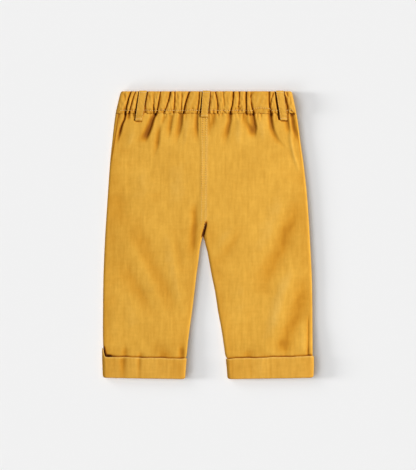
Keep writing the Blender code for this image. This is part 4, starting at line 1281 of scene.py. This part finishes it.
class TROUSERS_OT_belt_loops(bpy.types.Operator):
    """Set the three belt loops on the waistband and bar-tack their ends"""

    bl_idname = "trousers.belt_loops"
    bl_label = "Belt loops"

    def execute(self, context):
        cloth = linen("washed_linen_loops", context.scene.trousers_cloth.loop_colour, 0.3)
        for loop in BELT_LOOPS:
            name, slot = f"loop_{loop.name}", "belt_loop_linen"
            outer, inner, depth = belt_loop(loop)
            piece = closed_shell(name, outer, inner, depth, cloth)
            edges = [outer[4:-4, column] + (0, 0, 0.1) for column in (2, -3)]
            rows = sew(f"{name}_rows", edges, thickness=0.4 * MM)
            ends = [outer[station, 2:-2] + (0, 0, 0.15) for station in (4, 5, -6, -5)]
            bars = sew(f"{name}_bars", ends, length=1.1 * MM, spacing=0.75 * MM, thickness=0.36 * MM)
            length = round((LOOP_TOP - loop.bottom_y + 3.0) * MM, 3)  # with its ends tucked under
            under = "back_panel_right" if loop.name == "right" else "back_panel_left"
            finish_cloth(
                piece, f"belt_{name}", slot, flat=(0.010, length), held="laid",
                rests_on=["waistband_back", under], with_pieces=[rows, bars],
            )
        return {"FINISHED"}


class TROUSERS_OT_turn_ups(bpy.types.Operator):
    """Fold the turn-ups round the hems"""

    bl_idname = "trousers.turn_ups"
    bl_label = "Turn-ups"

    def execute(self, context):
        cloth = linen("washed_linen_turn_ups", context.scene.trousers_cloth.turn_up_colour, 0.3)
        for side, word in SIDES:
            for way, face, under in ((UP, "back", f"back_panel_{word}"), (DOWN, "front", "floor")):
                piece = closed_shell(f"turned_{face}_{word}", *turn_up(side, way), cloth)
                finish_cloth(
                    piece, f"turn_up_{face}_{word}", "turn_up_linen",
                    flat=(0.118, 0.030), held="folded", rests_on=[under],
                )
        return {"FINISHED"}


class TROUSERS_OT_stage(bpy.types.Operator):
    """Set the pale table, the soft lights and the camera overhead"""

    bl_idname = "trousers.stage"
    bl_label = "Stage"

    def execute(self, context):
        settings = context.scene.trousers_stage
        paper, _, shader = new_material("pale_matt_paper")
        shader["Base Color"].default_value = (*settings.floor_colour, 1.0)
        shader["Roughness"].default_value = 1.0
        shader["Specular IOR Level"].default_value = 0.0
        mesh = bpy.data.meshes.new("floor")
        corners = [(x * FLOOR_HALF, y * FLOOR_HALF, FLOOR_LEVEL) for x, y in ((-1, -1), (1, -1), (1, 1), (-1, 1))]
        mesh.from_pydata(corners, [], [(0, 1, 2, 3)])
        mesh.materials.append(paper)
        floor = bpy.data.objects.new("floor", mesh)
        group_of("table").objects.link(floor)
        # The cloth and the table are lit apart: the cloth by a soft box on its right, which falls off towards
        # the left, and the table from the left, so that its shadow is soft. The soft box is a little cool, and
        # what reaches the folds, off the cloth round them, is warm. Each light has its group, name, strength,
        # size in metres for the soft box or in degrees for a sun, place and colour.
        white, cool, warm = (1.0, 1.0, 1.0), (0.965, 1.005, 1.2), (1.05, 0.985, 0.78)
        shadow = settings.shadow_strength
        lights = (
            ("trousers", "soft_box", settings.cloth_strength, 1.1, (2.15, 0.75, 2.0), cool),
            ("trousers", "ceiling", settings.ceiling_strength, 110.0, (0.2, 0.3, 1.0), warm),
            ("trousers", "left_card", 0.25, 60.0, (-1.0, 0.0, 0.35), white),
            ("table", "table_low", 3.2 * shadow, 12.0, (-1.0, 0.03, 0.21), white),
            ("table", "table_near", 0.95 * shadow, 24.0, (-1.0, 0.8, 0.52), white),
            ("table", "table_far", 0.95 * shadow, 24.0, (-1.0, -0.8, 0.52), white),
            ("table", "table_high", 1.05 * shadow, 40.0, (-1.0, 0.0, 1.0), white),
            ("table", "table_top", settings.table_strength, 60.0, (0.0, 0.0, 1.0), white),
        )
        for group, name, strength, size, place, tint in lights:
            lamp = bpy.data.lights.new(name, "AREA" if name == "soft_box" else "SUN")
            lamp.energy, lamp.color = strength, tint
            if name == "soft_box":
                lamp.shape, lamp.size = "DISK", size
            else:
                lamp.angle = math.radians(size)
            holder = bpy.data.objects.new(name, lamp)
            x, y, z = holder.location = place
            holder.rotation_euler = (math.acos(z / math.hypot(x, y, z)), 0.0, math.atan2(x, -y))
            holder.light_linking.receiver_collection = group_of(group)
            context.scene.collection.objects.link(holder)
        world = context.scene.world or bpy.data.worlds.new("studio")
        context.scene.world = world
        world.use_nodes = True
        background = world.node_tree.nodes.get("Background") or world.node_tree.nodes.new("ShaderNodeBackground")
        background.inputs["Color"].default_value = (1.0, 1.0, 1.0, 1.0)
        background.inputs["Strength"].default_value = settings.fill_strength
        context.scene.view_settings.view_transform = "Standard"
        context.scene.view_settings.look = "None"
        camera = bpy.data.cameras.new("overhead_camera")
        camera.sensor_width = SENSOR
        # The picture's height is measured at half the trousers' thickness.
        camera.lens = SENSOR * (settings.camera_height - 0.004) / settings.view_height
        camera.clip_end = 20.0
        holder = bpy.data.objects.new("overhead_camera", camera)
        holder.location = (0.0, 0.0, settings.camera_height)
        context.scene.collection.objects.link(holder)
        context.scene.camera = holder
        return {"FINISHED"}


class TROUSERS_PT_sidebar(bpy.types.Panel):
    """Steps and settings of the trousers"""

    bl_idname = "TROUSERS_PT_sidebar"
    bl_label = "Linen Trousers"
    bl_space_type = "VIEW_3D"
    bl_region_type = "UI"
    bl_category = "Trousers"

    def draw(self, context):
        layout = self.layout
        for settings in (context.scene.trousers_cloth, context.scene.trousers_stage):
            box = layout.box()
            for name in settings.__annotations__:
                box.prop(settings, name)
        for operator in OPERATORS:
            layout.operator(operator.bl_idname)


OPERATORS = (TROUSERS_OT_stage, TROUSERS_OT_legs, TROUSERS_OT_waistband, TROUSERS_OT_belt_loops, TROUSERS_OT_turn_ups)
CLASSES = (TrousersCloth, TrousersStage, *OPERATORS, TROUSERS_PT_sidebar)


def register():
    for cls in CLASSES:
        bpy.utils.register_class(cls)
    bpy.types.Scene.trousers_cloth = PointerProperty(type=TrousersCloth)
    bpy.types.Scene.trousers_stage = PointerProperty(type=TrousersStage)


def unregister():
    del bpy.types.Scene.trousers_stage
    del bpy.types.Scene.trousers_cloth
    for cls in reversed(CLASSES):
        bpy.utils.unregister_class(cls)


def main():
    register()
    bpy.ops.trousers.stage()
    bpy.ops.trousers.legs()
    bpy.ops.trousers.waistband()
    bpy.ops.trousers.belt_loops()
    bpy.ops.trousers.turn_ups()


if __name__ == "__main__":
    main()
